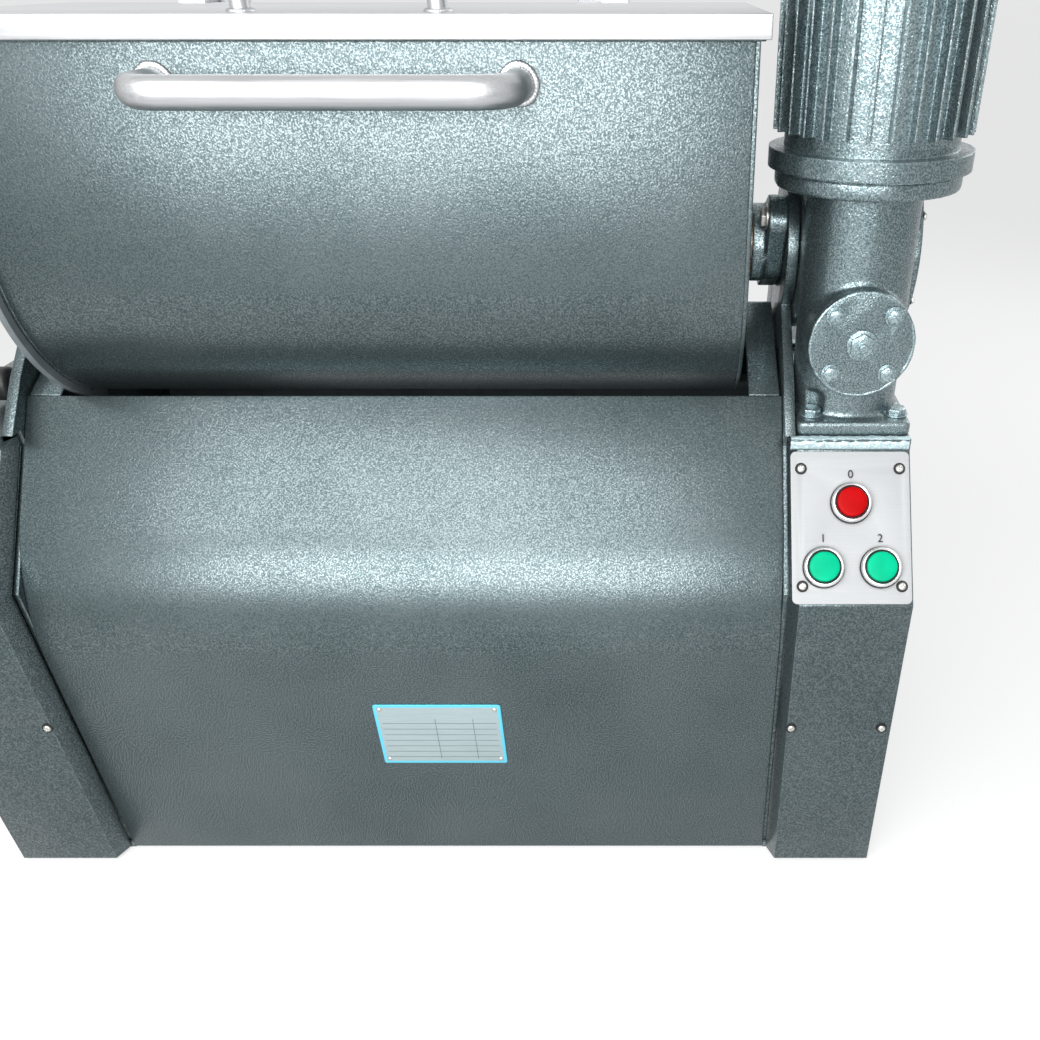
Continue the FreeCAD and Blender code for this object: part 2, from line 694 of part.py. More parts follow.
def pedestal_shells():
    """Both pedestal shells, with their holes for buttons, bolts, rod and gland."""
    fold = pedestal_shell("pedestal_shell_right", RIGHT)
    tools = []
    for number, (along, across) in enumerate(BUTTONS.values()):
        tool = rod(f"button_hole_{number}", d.button_hole, d.skin * 4)
        on_console(tool, along, across, -d.skin * 2)
        tools.append(tool)
    for number, (x, y) in enumerate(foot_bolt_places()):
        tools.append(rod(f"foot_hole_{number}", d.bolt_radius + d.fit_gap, d.skin * 3, "z",
                         (x, y, pedestal_top - d.skin * 2)))
    tools.append(rod("gland_hole", d.gland_radius, d.skin * 4, "y",
                     (pedestal_mid, rear - d.skin * 2, d.gland_height)))
    tools += shell_screw_rods("shell_hole_right", RIGHT, d.screw_radius + d.fit_gap)
    tools.append(arm_slot("arm_slot_right", RIGHT))
    tools += panel_screw_rods("panel_hole", d.screw_radius + d.fit_gap)
    finish(cut("pedestal_shell_right", fold, tools), "pedestal_shell_right")
    fold = pedestal_shell("pedestal_shell_left", LEFT)
    tools = shell_screw_rods("shell_hole_left", LEFT, d.screw_radius + d.fit_gap)
    tools.append(arm_slot("arm_slot_left", LEFT))
    finish(cut("pedestal_shell_left", fold, tools), "pedestal_shell_left")


def lock_direction():
    """Cosine and sine of the locking rod's place round the axis."""
    angle = math.radians(d.lock_angle.value)
    return (Size(math.cos(angle), f"cos({d.lock_angle.text} * 1 deg)"),
            Size(math.sin(angle), f"sin({d.lock_angle.text} * 1 deg)"))


def ear_places():
    """Places of a bearing housing's bolts, to the side of the axis and above it."""
    angle = math.radians(d.ear_turn.value)
    aside = Size(math.sin(angle), f"sin({d.ear_turn.text} * 1 deg)")
    above = Size(math.cos(angle), f"cos({d.ear_turn.text} * 1 deg)")
    return [(-d.housing_reach * aside * sign, d.axis_height + d.housing_reach * above * sign)
            for sign in (1, -1)]


def frame_plate(name, side):
    """Thick inner plate of a pedestal, with an arm and a head that carry the trough."""
    body = new_body(name + "_plate")
    edge = casing_front + d.skin * 2
    back = rear - d.skin - d.shell_gap
    brow = pedestal_top - d.skin - d.shell_gap
    notch_y = d.head_radius * d.notch_share
    notch_z = d.axis_height - root(d.head_radius * d.head_radius - notch_y * notch_y)
    lip_back = front + d.console_run + d.bevel_depth + d.skin
    outline = [
        (edge, d.base_thick), (back, d.base_thick), (back, brow), (d.arm_front, brow),
        (d.arm_knee, pedestal_top + d.knee_rise), (d.head_radius, d.axis_height, "arc", d.head_radius, 1),
        (0, d.axis_height + d.head_radius, "arc", d.head_radius, 1),
        (-d.head_radius, d.axis_height, "arc", d.head_radius, 1), (-notch_y, notch_z),
        (-d.arm_knee, pedestal_top + d.knee_rise), (-d.arm_front, pedestal_top), (lip_back, pedestal_top),
        (lip_back, console_top - d.skin * 2), (edge, console_foot - d.skin),
    ]
    holes = [(0, d.axis_height, d.trunnion_radius + d.running_gap)]
    holes += [(y, z, d.bolt_radius + d.fit_gap) for y, z in ear_places()]
    if side == LEFT:
        holes.append((lock_y, lock_z, d.lock_radius + d.running_gap))
    pad(body, "YZ_Plane", [outline] + holes, *span(side, frame_inner, frame_outer))
    finish(body, name)


def base_plate(name, side):
    """Plate under a pedestal, with its anchor holes."""
    body = new_body(name + "_plate")
    low, high = span(side, frame_inner, pedestal_outer - d.skin - d.shell_gap)
    edge = rear - d.skin - d.shell_gap
    start = casing_front + d.skin
    outline = rectangle(low, start, high, edge)
    anchors = [(side * pedestal_mid, sign * d.anchor_spacing / 2, d.anchor_radius) for sign in (1, -1)]
    pad(body, "XY_Plane", [outline] + anchors, 0, d.base_thick)
    return body


def cross_rails():
    """Square tubes that tie the two frame plates together."""
    places = [(-d.rail_reach, d.rail_height), (d.rail_reach - d.rail_size, d.rail_height),
              (d.rail_reach, pedestal_top - d.upper_rail_drop)]
    rails = []
    for number, (y, z) in enumerate(places):
        body = new_body(f"cross_rail_{number}")
        outer = rectangle(y, z, y + d.rail_size, z + d.rail_size, d.rail_wall * 2)
        inner = rectangle(y + d.rail_wall, z + d.rail_wall, y + d.rail_size - d.rail_wall,
                          z + d.rail_size - d.rail_wall, d.rail_wall)
        pad(body, "YZ_Plane", [outer, inner], -frame_inner, frame_inner)
        rails.append(body)
    finish(join("cross_rails", rails), "cross_rails")


# Casing between the pedestals

casing_top = pedestal_top + d.casing_rise
lip_y = casing_front + (casing_top - console_foot) * d.console_run / d.console_rise


def front_casing():
    """Sheet that rises from the floor, bends through a large radius and runs up to its lip."""
    body = new_body("front_casing_sheet")
    outline = [
        (casing_front, d.floor_gap), (casing_front + d.skin, d.floor_gap),
        (casing_front + d.skin, console_foot - fold_drop, "round", d.bend_radius - d.skin),
        (lip_y + slope_z * d.skin, casing_top - slope_y * d.skin),
        (lip_y, casing_top),
        (casing_front, console_foot, "round", d.bend_radius),
    ]
    reach = frame_inner - d.seat_gap
    pad(body, "YZ_Plane", [outline], -reach, reach)
    finish(body, "front_casing")


def casing_wing(name, side):
    """Narrow strip that carries the casing on behind the trough's end."""
    body = new_body(name + "_strip")
    length = root(d.wing_run * d.wing_run + d.wing_rise * d.wing_rise)
    across = d.wing_rise / length * d.skin
    down = d.wing_run / length * d.skin
    top_y = lip_y + d.wing_run
    top_z = casing_top + d.wing_rise
    curl = d.skin * 4
    outline = [
        (lip_y + slope_z * d.skin + slope_y * d.seat_gap,
         casing_top - slope_y * d.skin + slope_z * d.seat_gap),
        (top_y + across - curl / 4, top_z - down, "round", curl / 2),
        (top_y + across - curl / 4, top_z - down - curl * 2),
        (top_y + across - curl / 4 + d.skin, top_z - down - curl * 2),
        (top_y + across - curl / 4 + d.skin, top_z, "round", curl / 2 + d.skin),
        (lip_y + slope_y * d.seat_gap, casing_top + slope_z * d.seat_gap),
    ]
    pad(body, "YZ_Plane", [outline], *span(side, d.trough_half + d.wing_gap, frame_inner - d.wing_space))
    return body


def rear_casing():
    """Plain sheet at the back, folded in under the trough."""
    body = new_body("rear_casing_sheet")
    back = rear - d.bevel_depth
    rear_top = pedestal_top - d.rear_drop
    outline = [
        (back, d.floor_gap), (back, rear_top, "round", d.skin * 5),
        (back - d.rear_fold, rear_top + d.rear_fold),
        (back - d.rear_fold - d.skin, rear_top + d.rear_fold - d.skin),
        (back - d.skin, rear_top - d.skin, "round", d.skin * 4), (back - d.skin, d.floor_gap),
    ]
    reach = frame_inner - d.seat_gap
    pad(body, "YZ_Plane", [outline], -reach, reach)
    finish(body, "rear_casing")


def data_plate():
    """Bare plate on the front casing, held by four rivets."""
    body = new_body("data_plate_sheet")
    low_x = d.plate_centre_x - d.plate_width / 2
    low_z = d.plate_centre_z - d.plate_height / 2
    outline = rectangle(low_x, low_z, low_x + d.plate_width, low_z + d.plate_height, d.skin)
    pad(body, "XZ_Plane", [outline], -casing_front, -casing_front + d.plate_thick)
    finish(body, "data_plate")
    rivets = []
    for across in (-1, 1):
        for up in (-1, 1):
            place = (d.plate_centre_x + (d.plate_width / 2 - d.rivet_side) * across,
                     casing_front - d.plate_thick - d.rivet_head,
                     d.plate_centre_z + (d.plate_height / 2 - d.rivet_side) * up)
            rivets.append(rod(f"plate_rivet_{len(rivets)}", d.screw_radius, d.rivet_head, "y", place))
    finish(join("plate_rivets", rivets), "plate_rivets")


# Bearings that carry the trough

def bearing_housing(name, side):
    """Flanged housing with two bolt ears, on the inner face of a frame plate."""
    body = new_body(name + "_casting")
    reach = d.housing_reach
    tip = d.housing_tip
    waist = d.housing_boss
    outline = [
        (waist, 0, "round", waist), (tip, reach + tip, "round", tip),
        (-tip, reach + tip, "round", tip), (-waist, 0, "round", waist),
        (-tip, -reach - tip, "round", tip), (tip, -reach - tip, "round", tip),
    ]
    holes = [(0, reach * sign, d.bolt_radius + d.fit_gap) for sign in (1, -1)]
    face = frame_inner - d.housing_flange
    bore = (0, 0, bush_radius + d.running_gap)
    pad(body, "YZ_Plane", [outline, bore] + holes, *span(side, face, frame_inner))
    pad(body, "YZ_Plane", [(0, 0, waist), bore], *span(side, housing_end, face))
    body.Placement = FreeCAD.Placement(V(0, 0, 0), FreeCAD.Rotation(V(1, 0, 0), d.ear_turn.value))
    bind(body, "Placement.Rotation.Angle", d.ear_turn)
    move(body, 0, 0, d.axis_height)
    return body


def trunnion_bush(name, side):
    """Bronze bush that the trunnion turns in."""
    body = new_body(name + "_ring")
    outline = [(0, d.axis_height, bush_radius),
               (0, d.axis_height, d.trunnion_radius + d.running_gap)]
    pad(body, "YZ_Plane", outline, *span(side, housing_end, frame_inner))
    return body


def housing_bolts():
    """Hexagon bolts and nuts that hold the bearing housings."""
    bolts = []
    face = frame_inner - d.housing_flange
    for side in (LEFT, RIGHT):
        low, high = span(side, face, frame_outer)
        head_low, _ = span(side, face - d.bolt_head, face)
        for y, z in ear_places():
            name = f"housing_bolt_{len(bolts)}"
            parts = [hexagon(name + "_head", d.bolt_across, d.bolt_head, "x", (head_low, y, z)),
                     rod(name + "_shank", d.bolt_radius, high - low, "x", (low, y, z))]
            if side == LEFT:
                nut_low = low - d.bolt_head
                parts.append(hexagon(name + "_nut", d.bolt_across, d.bolt_head, "x", (nut_low, y, z)))
            bolts.append(join(name, parts))
    finish(join("housing_bolts", bolts), "housing_bolts")


# Trough

def trough_outline(radius, rim):
    """U-shaped outline round the axis."""
    up = d.axis_height
    return [(-radius, rim), (-radius, up, "arc", radius, 1), (0, up - radius, "arc", radius, 1),
            (radius, up), (radius, rim)]


def trough_shell():
    """Bent sheet of the trough, open at the top."""
    body = new_body("trough_sheet")
    outer = d.trough_radius
    inner = d.trough_radius - d.trough_wall
    up = d.axis_height
    outline = [
        (-outer, rim_height), (-outer, up, "arc", outer, 1), (0, up - outer, "arc", outer, 1),
        (outer, up), (outer, rim_height), (inner, rim_height),
        (inner, up, "arc", inner, 0), (0, up - inner, "arc", inner, 0),
        (-inner, up), (-inner, rim_height),
    ]
    reach = d.trough_half - d.trough_wall
    pad(body, "YZ_Plane", [outline], -reach, reach)
    finish(body, "trough_shell")


def trough_end(name, side):
    """Flat end of the trough, with a hole for the shaft."""
    body = new_body(name + "_sheet")
    hole = (0, d.axis_height, d.trunnion_radius - d.trough_wall)
    pad(body, "YZ_Plane", [trough_outline(d.trough_radius, rim_height), hole],
        *span(side, d.trough_half - d.trough_wall, d.trough_half))
    return body


def trough_rim():
    """Flat bar round the trough's rim."""
    body = new_body("trough_rim_bar")
    outer = rectangle(-rim_half, -rim_deep, rim_half, rim_deep, d.rim_bar)
    inner = rectangle(-d.trough_half, -d.trough_radius, d.trough_half, d.trough_radius)
    pad(body, "XY_Plane", [outer, inner], rim_height - d.rim_depth, rim_height)
    finish(body, "trough_rim")


def trunnion(name, side):
    """Flanged hollow journal on a trough end; the kneading shaft passes through it."""
    body = new_body(name + "_journal")
    bore = (0, d.axis_height, d.shaft_radius + d.running_gap)
    pad(body, "YZ_Plane", [(0, d.axis_height, d.hub_radius), bore],
        *span(side, d.trough_half, d.trough_half + d.hub_thick))
    pad(body, "YZ_Plane", [(0, d.axis_height, d.trunnion_radius), bore],
        *span(side, d.trough_half + d.hub_thick, frame_outer))
    return body


def shaft_seal(name, side):
    """Rubber ring round the shaft on the inside of a trough end."""
    body = new_body(name + "_ring")
    low = d.trough_half - d.trough_wall - d.seal_thick
    outline = [(0, d.axis_height, d.seal_radius),
               (0, d.axis_height, d.shaft_radius + d.running_gap)]
    pad(body, "YZ_Plane", outline, *span(side, low, d.trough_half - d.trough_wall))
    return body


def tipping_handle():
    """Bent tube on the trough's front wall."""
    body = new_body("tipping_handle_tube")
    start = -d.trough_radius
    out = start - d.handle_reach
    handle_height = rim_height - d.handle_drop
    path = [(-d.handle_half, start), (-d.handle_half, out, "round", d.handle_radius * 2.5),
            (d.handle_half, out, "round", d.handle_radius * 2.5), (d.handle_half, start)]
    spine = new_sketch(body, "XY_Plane", [path], handle_height, closed=False)
    section = new_sketch(body, "XZ_Plane", [(-d.handle_half, handle_height, d.handle_radius)],
                         d.trough_radius)
    doc.recompute()
    feature = body.newObject("PartDesign::AdditivePipe", "tipping_handle_bend")
    feature.Profile = section
    feature.Spine = spine
    finish(body, "tipping_handle")


# Lid and its hinges

def lid():
    """Folded lid with a skirt at the front and at both ends."""
    body = new_body("lid_sheet")
    outer = rectangle(-skirt_half - d.lid_skin, -skirt_deep - d.lid_skin,
                      skirt_half + d.lid_skin, d.trough_radius)
    pad(body, "XY_Plane", [outer], lid_top - d.lid_skirt, lid_top)
    hollow = rectangle(-skirt_half, -skirt_deep, skirt_half, d.trough_radius + PAST)
    pocket(body, "XY_Plane", [hollow], lid_top - d.lid_skirt - PAST, lid_under)
    finish(body, "lid")


def hinge_half(name, inside, length, leaf_low, leaf_high):
    """Knuckles of one half of the two lid hinges, each with its leaf."""
    halves = []
    for side in (LEFT, RIGHT):
        low, high = span(side, inside, inside + length)
        item = f"{name}_{len(halves)}"
        knuckle = rod(item + "_knuckle", d.hinge_radius, length, "x", (low, d.hinge_back, hinge_height))
        leaf = block(item + "_leaf", (low, leaf_low[0], leaf_low[1]), (high, leaf_high[0], leaf_high[1]))
        solid = join(item + "_solid", [knuckle, leaf])
        bore = rod(item + "_bore", d.pin_radius + d.running_gap, length + PAST * 2, "x",
                   (low - PAST, d.hinge_back, hinge_height))
        halves.append(cut(item, solid, [bore]))
    finish(join(name, halves), name)


def hinges():
    """Knuckles on the trough, knuckles on the lid, and their pins."""
    low = hinge_height - d.hinge_radius
    hinge_half("hinge_brackets", hinge_place - d.knuckle_length, d.knuckle_length,
               (rim_deep, low - d.hinge_radius), (d.hinge_back, low + d.pin_radius))
    hinge_half("lid_knuckles", hinge_place + d.seat_gap, d.knuckle_length,
               (d.trough_radius - d.leaf_reach, lid_top), (d.hinge_back, hinge_height))
    pins = []
    for side in (LEFT, RIGHT):
        start, _ = span(side, hinge_place - d.knuckle_length, hinge_place + d.knuckle_length)
        pins.append(rod(f"hinge_pin_{len(pins)}", d.pin_radius, d.knuckle_length * 2, "x",
                        (start, d.hinge_back, hinge_height)))
    finish(join("hinge_pins", pins), "hinge_pins")


def lid_grip():
    """Bent rod on top of the lid."""
    body = new_body("lid_grip_rod")
    place = -d.trough_radius + d.grip_inset
    high = lid_top + d.grip_height
    path = [(-d.grip_half, lid_top), (-d.grip_half, high, "round", d.grip_radius * 2.5),
            (d.grip_half, high, "round", d.grip_radius * 2.5), (d.grip_half, lid_top)]
    spine = new_sketch(body, "XZ_Plane", [path], -place, closed=False)
    section = new_sketch(body, "XY_Plane", [(-d.grip_half, place, d.grip_radius)], lid_top)
    doc.recompute()
    feature = body.newObject("PartDesign::AdditivePipe", "lid_grip_bend")
    feature.Profile = section
    feature.Spine = spine
    finish(body, "lid_grip")


# Kneading blade and its shafts

def blade_section(distance, turn):
    """Cross-section of the blade's wing, at a distance along X and an angle round the axis."""
    low = d.blade_radius.value - d.blade_deep.value / 2
    high = d.blade_radius.value + d.blade_deep.value / 2
    half = d.blade_thick.value / 2
    tip = half * d.blade_tip.value
    corners = [V(distance, low, -half), V(distance, high, -tip), V(distance, high, tip),
               V(distance, low, half)]
    wire = Part.makePolygon(corners + corners[:1])
    wire.rotate(V(0, 0, 0), V(1, 0, 0), turn)
    return wire


def blade_shape():
    """Z blade: two hubs, two arms and a wing that winds half a turn from one to the other."""
    outside = blade_half.value
    inside = outside - d.hub_length.value
    half = d.blade_thick.value / 2
    high = d.blade_radius.value + d.blade_deep.value / 2
    steps = 8
    start = -outside
    sections = []
    for step in range(steps + 1):
        along = start + 2 * outside * step / steps
        sections.append(blade_section(along, 180 * step / steps))
    wing = Part.makeLoft(sections, True, False)
    solid = wing
    for side in (LEFT, RIGHT):
        low = min(side * outside, side * inside)
        hub = Part.makeCylinder(d.blade_hub.value, d.hub_length.value, V(low, 0, 0), V(1, 0, 0))
        arm_width = d.hub_length.value * d.arm_share.value
        arm_low = low if side == LEFT else low + d.hub_length.value - arm_width
        reach = high - d.blade_deep.value / 2
        arm = Part.makeBox(arm_width, reach, 2 * half, V(arm_low, 0, -half))
        if side == RIGHT:
            arm.rotate(V(0, 0, 0), V(1, 0, 0), 180)
        solid = solid.fuse([hub, arm])
    bore = Part.makeCylinder(d.shaft_radius.value + d.running_gap.value, 2 * (outside + PAST),
                             V(-outside - PAST, 0, 0), V(1, 0, 0))
    return solid.cut(bore)


def shaped(name, shape, x, y, z):
    """A piece with a shape of its own, placed by the cells."""
    item = doc.addObject("Part::Feature", name)
    item.Shape = shape
    move(item, x, y, z)
    finish(item, name)
    return item


def kneading_parts():
    """The blade, the shaft that drives it and the stub that carries its other end."""
    shaped("kneading_blade", blade_shape(), 0, 0, d.axis_height)
    inside = blade_half - d.hub_length
    stub_end = frame_outer + d.bearing_width
    stub = rod("idle_shaft", d.shaft_radius, stub_end - inside, "x", (-stub_end, 0, d.axis_height))
    finish(stub, "idle_shaft")
    drive_end = drum_outer - d.shaft_set_back
    drive = rod("drive_shaft", d.shaft_radius, drive_end - inside, "x", (inside, 0, d.axis_height))
    finish(drive, "drive_shaft")


def bearing_cap():
    """Round cap over the free end of the idle shaft."""
    outside = d.bearing_radius + d.cap_skirt
    inside = frame_outer + d.bearing_width + d.cap_wall
    top = inside + d.cap_wall
    bore = d.trunnion_radius + d.running_gap
    outline = [
        (-frame_outer, bore), (-frame_outer, outside), (-top, outside, "round", d.cap_corner), (-top, 0),
        (-inside, 0), (-inside, bore),
    ]
    body = turned("bearing_cap_turned", outline)
    move(body, 0, 0, d.axis_height)
    finish(body, "bearing_cap")


# Worm drive

def tooth_wheel():
    """Worm wheel: teeth that follow the worm's lead, on a webbed hub."""
    module = d.module.value
    count = int(d.wheel_teeth.value)
    pitch_radius = wheel_pitch_radius.value
    tip = pitch_radius + module
    foot = pitch_radius - d.tooth_foot.value * module
    width = d.wheel_width.value
    pitch = math.pi * module
    lead_angle = math.atan(1 / d.worm_quotient.value)
    slant = math.tan(math.radians(d.tooth_slant.value))
    half_pitch = (pitch / 2 - d.backlash.value) / 2
    half_tip = (half_pitch - module * slant) / tip
    half_foot = (half_pitch + d.tooth_foot.value * module * slant) / foot
    twist = width * math.tan(lead_angle) / pitch_radius
    wires = []
    for step in (0, 1):
        turn = twist * (step - 0.5)
        points = []
        for tooth in range(count):
            centre = 2 * math.pi * (tooth + 0.5) / count + math.pi + turn
            for radius, offset in ((foot, -half_foot), (tip, -half_tip), (tip, half_tip), (foot, half_foot)):
                angle = centre + offset
                points.append(V(width * (step - 0.5), radius * math.cos(angle), radius * math.sin(angle)))
        wires.append(Part.makePolygon(points + points[:1]))
    gear = Part.makeLoft(wires, True, True)
    web = d.web_half.value
    depth = width / 2 - web + PAST
    for low in (-width / 2 - PAST, web):
        dish = Part.makeCylinder(foot - d.wheel_rim.value, depth, V(low, 0, 0), V(1, 0, 0))
        core = Part.makeCylinder(d.wheel_hub.value, depth, V(low, 0, 0), V(1, 0, 0))
        gear = gear.cut(dish.cut(core))
    bore = Part.makeCylinder(d.shaft_radius.value + d.running_gap.value, width + 2 * PAST,
                             V(-width / 2 - PAST, 0, 0), V(1, 0, 0))
    return gear.cut(bore)


def worm_shape():
    """Worm: one thread wound round a shaft, on Z, level with the wheel at its middle."""
    module = d.module.value
    pitch = math.pi * module
    turns = int(d.worm_turns.value)
    pitch_radius = worm_pitch_radius.value
    foot = pitch_radius - d.tooth_foot.value * module
    tip = pitch_radius + module
    slant = math.tan(math.radians(d.tooth_slant.value))
    half = (pitch / 2) / 2
    low = -pitch * turns / 2
    helix = Part.makeHelix(pitch, pitch * turns, foot)
    root_half = half + d.tooth_foot.value * module * slant - d.running_gap.value
    tip_half = half - module * slant
    section = [V(foot - PAST, 0, -root_half), V(foot, 0, -root_half), V(tip, 0, -tip_half),
               V(tip, 0, tip_half), V(foot, 0, root_half), V(foot - PAST, 0, root_half)]
    profile = Part.makePolygon(section + section[:1])
    thread = Part.Wire(helix).makePipeShell([profile], True, True)
    thread.translate(V(0, 0, low))
    thread.rotate(V(0, 0, 0), V(0, 0, 1), -90)
    core = Part.makeCylinder(foot, pitch * turns + pitch, V(0, 0, low - pitch / 2))
    below = worm_low.value - d.axis_height.value
    above = worm_high.value - d.axis_height.value
    shaft = Part.makeCylinder(d.worm_journal.value, above - below, V(0, 0, below))
    return core.fuse([thread, shaft])


def worm_pair():
    """The worm on the column's axis and the wheel on the drive shaft."""
    shaped("worm_wheel", tooth_wheel(), column_mid, 0, d.axis_height)
    shaped("worm_shaft", worm_shape(), column_mid, worm_back, d.axis_height)


def foot_bolt_places():
    """Places of the four bolts through the gearbox foot."""
    return [(x, y) for x in (column_inner + d.foot_bolt_inner, pedestal_outer - d.foot_bolt_side)
            for y in (-d.foot_front + d.foot_bolt_front, d.foot_back - d.foot_bolt_side)]


def gearbox_housing():
    """Casting: foot, column for the worm, drum for the wheel, cover boss and top flange."""
    top = flange_joint - d.flange_thick
    bottom = pedestal_top
    foot = block("gearbox_foot", (column_inner, -d.foot_front, bottom),
                 (pedestal_outer, d.foot_back, foot_top))
    rounded = doc.addObject("Part::Fillet", "gearbox_foot_rounded")
    rounded.Base = foot
    doc.recompute()
    upright = [n for n, edge in enumerate(foot.Shape.Edges, start=1)
               if abs(edge.Vertexes[0].Point.z - edge.Vertexes[1].Point.z) > PAST]
    corner = d.foot_corner.value
    rounded.Edges = [(n, corner, corner) for n in upright]
    cover_back = d.cover_front - d.cover_thick
    drum_start = column_inner
    outside = [
        rounded,
        rod("gearbox_column", d.column_radius, top - bottom, "z", (column_mid, worm_back, bottom)),
        rod("gearbox_drum", d.drum_radius, drum_outer - drum_start, "x", (drum_start, 0, d.axis_height)),
        rod("gearbox_boss", d.cover_radius, cover_back + worm_back, "y",
            (column_mid, -cover_back, cover_height)),
        block("gearbox_web", (column_mid - d.web_thick / 2, worm_back, foot_top),
              (column_mid + d.web_thick / 2, d.foot_back - d.web_set_back,
               d.axis_height - d.drum_bore)),
        rod("gearbox_top_flange", d.top_flange_radius, d.flange_thick, "z", (column_mid, worm_back, top)),
    ]
    solid = join("gearbox_outside", outside)
    seat = d.bearing_radius + d.running_gap
    drum_inside = drum_start + d.drum_wall
    cuts = [
        rod("gearbox_column_bore", d.column_bore, top - foot_top + d.flange_thick, "z",
            (column_mid, worm_back, worm_low)),
        rod("gearbox_drum_bore", d.drum_bore, drum_outer - drum_inside + PAST, "x",
            (drum_inside, 0, d.axis_height)),
        rod("gearbox_seat", seat, d.drum_wall, "x", (drum_start + d.seat_wall, 0, d.axis_height)),
        rod("gearbox_shaft_hole", d.trunnion_radius - PAST, d.drum_wall, "x", (drum_start - PAST, 0, d.axis_height)),
        rod("gearbox_cover_bore", d.cover_bore, cover_back + worm_back + PAST, "y",
            (column_mid, -cover_back - PAST, cover_height)),
    ]
    for number, (x, y) in enumerate(foot_bolt_places()):
        cuts.append(rod(f"gearbox_foot_hole_{number}", d.bolt_radius + d.fit_gap, d.foot_thick * 3, "z",
                        (x, y, bottom - PAST)))
        cuts.append(rod(f"gearbox_spot_face_{number}", d.spot_radius, d.bolt_head * 3, "z",
                        (x, y, foot_top)))
    finish(cut("gearbox_housing", solid, cuts), "gearbox_housing")


def gearbox_bearings():
    """Rolling bearings of the wheel shaft and of the worm, as plain rings."""
    rings = []
    wheel_places = (column_inner + d.seat_wall + d.fit_gap,
                    drum_outer - d.bearing_width - d.fit_gap)
    for x in wheel_places:
        ring_body = rod(f"wheel_bearing_{len(rings)}", d.bearing_radius, d.bearing_width, "x",
                        (x, 0, d.axis_height))
        hole = rod(f"wheel_bearing_hole_{len(rings)}", d.shaft_radius + d.running_gap,
                   d.bearing_width + PAST * 2, "x", (x - PAST, 0, d.axis_height))
        rings.append(cut(f"wheel_bearing_ring_{len(rings)}", ring_body, [hole]))
    for z in (worm_low, flange_joint - d.bearing_width):
        ring_body = rod(f"worm_bearing_{len(rings)}", d.column_bore - d.running_gap, d.bearing_width, "z",
                        (column_mid, worm_back, z))
        hole = rod(f"worm_bearing_hole_{len(rings)}", d.worm_journal + d.fit_gap,
                   d.bearing_width + PAST * 2, "z", (column_mid, worm_back, z - PAST))
        rings.append(cut(f"worm_bearing_ring_{len(rings)}", ring_body, [hole]))
    finish(join("gearbox_bearings", rings), "gearbox_bearings")


def drum_cover():
    """Round cover on the outer side of the drum; it carries the outer wheel bearing."""
    start = drum_outer
    face = start + d.drum_cover_thick
    web = start + d.drum_cover_web
    seat = d.bearing_radius + d.running_gap
    collar = seat + d.seat_collar
    outline = [
        (start - d.bearing_width, seat), (start - d.bearing_width, collar),
        (start, collar), (start, d.drum_radius), (face, d.drum_radius, "round", d.seat_wall),
        (face, d.bearing_radius), (web, d.trunnion_radius), (web, 0), (start, 0), (start, seat),
    ]
    body = turned("drum_cover_turned", outline)
    move(body, 0, 0, d.axis_height)
    relief = rod("drum_cover_relief", d.top_flange_radius + d.relief_gap, d.flange_thick * 2, "z",
                 (column_mid, worm_back, flange_joint - d.flange_thick - d.relief_gap))
    finish(cut("drum_cover", body, [relief]), "drum_cover")
    bolts = []
    pitch_radius = (d.drum_radius + d.drum_bore) / 2
    count = int(d.drum_screws.value)
    for number in range(count):
        angle = 2 * math.pi * (number + 0.5) / count
        place = (face, pitch_radius * math.cos(angle), d.axis_height + pitch_radius * math.sin(angle))
        bolts.append(rod(f"drum_screw_{number}", d.screw_radius * 1.4, d.screw_head_height, "x", place))
    finish(join("drum_screws", bolts), "drum_screws")


def inspection_cover():
    """Round cover on the front of the column, with four bolts and a filler plug."""
    body = new_body("inspection_cover_disc")
    start = d.cover_front - d.cover_thick
    plug_hole = (column_mid, cover_height, d.stud_radius + d.fit_gap)
    places = []
    for number in range(4):
        angle = math.radians(45 + 90 * number)
        places.append((column_mid + d.cover_pitch * math.cos(angle),
                       cover_height + d.cover_pitch * math.sin(angle)))
    holes = [(x, z, d.stud_radius + d.fit_gap) for x, z in places]
    disc = (column_mid, cover_height, d.cover_radius)
    pad(body, "XZ_Plane", [disc, plug_hole] + holes, start, d.cover_front)
    finish(body, "inspection_cover")
    bolts = []
    for number, (x, z) in enumerate(places):
        name = f"cover_bolt_{number}"
        head = hexagon(name + "_head", d.stud_across, d.stud_head, "y",
                       (x, -d.cover_front - d.stud_head, z))
        shank = rod(name + "_shank", d.stud_radius, d.cover_thick, "y", (x, -d.cover_front, z))
        bolts.append(join(name, [head, shank]))
    finish(join("cover_bolts", bolts), "cover_bolts")
    head = hexagon("filler_plug_head", d.plug_across, d.stud_head, "y",
                   (column_mid, -d.cover_front - d.stud_head, cover_height))
    stud = rod("filler_plug_stud", d.stud_radius, d.stud_head * 2 + d.cover_thick, "y",
               (column_mid, -d.cover_front - d.stud_head * 2, cover_height))
    finish(join("filler_plug", [head, stud]), "filler_plug")


def foot_bolts():
    """Four bolts that hold the gearbox on the pedestal."""
    bolts = []
    for number, (x, y) in enumerate(foot_bolt_places()):
        name = f"foot_bolt_{number}"
        head = hexagon(name + "_head", d.bolt_across, d.bolt_head, "z", (x, y, foot_top))
        shank = rod(name + "_shank", d.bolt_radius, d.foot_thick + d.skin, "z",
                    (x, y, pedestal_top - d.skin))
        bolts.append(join(name, [head, shank]))
    finish(join("foot_bolts", bolts), "foot_bolts")


# Motor

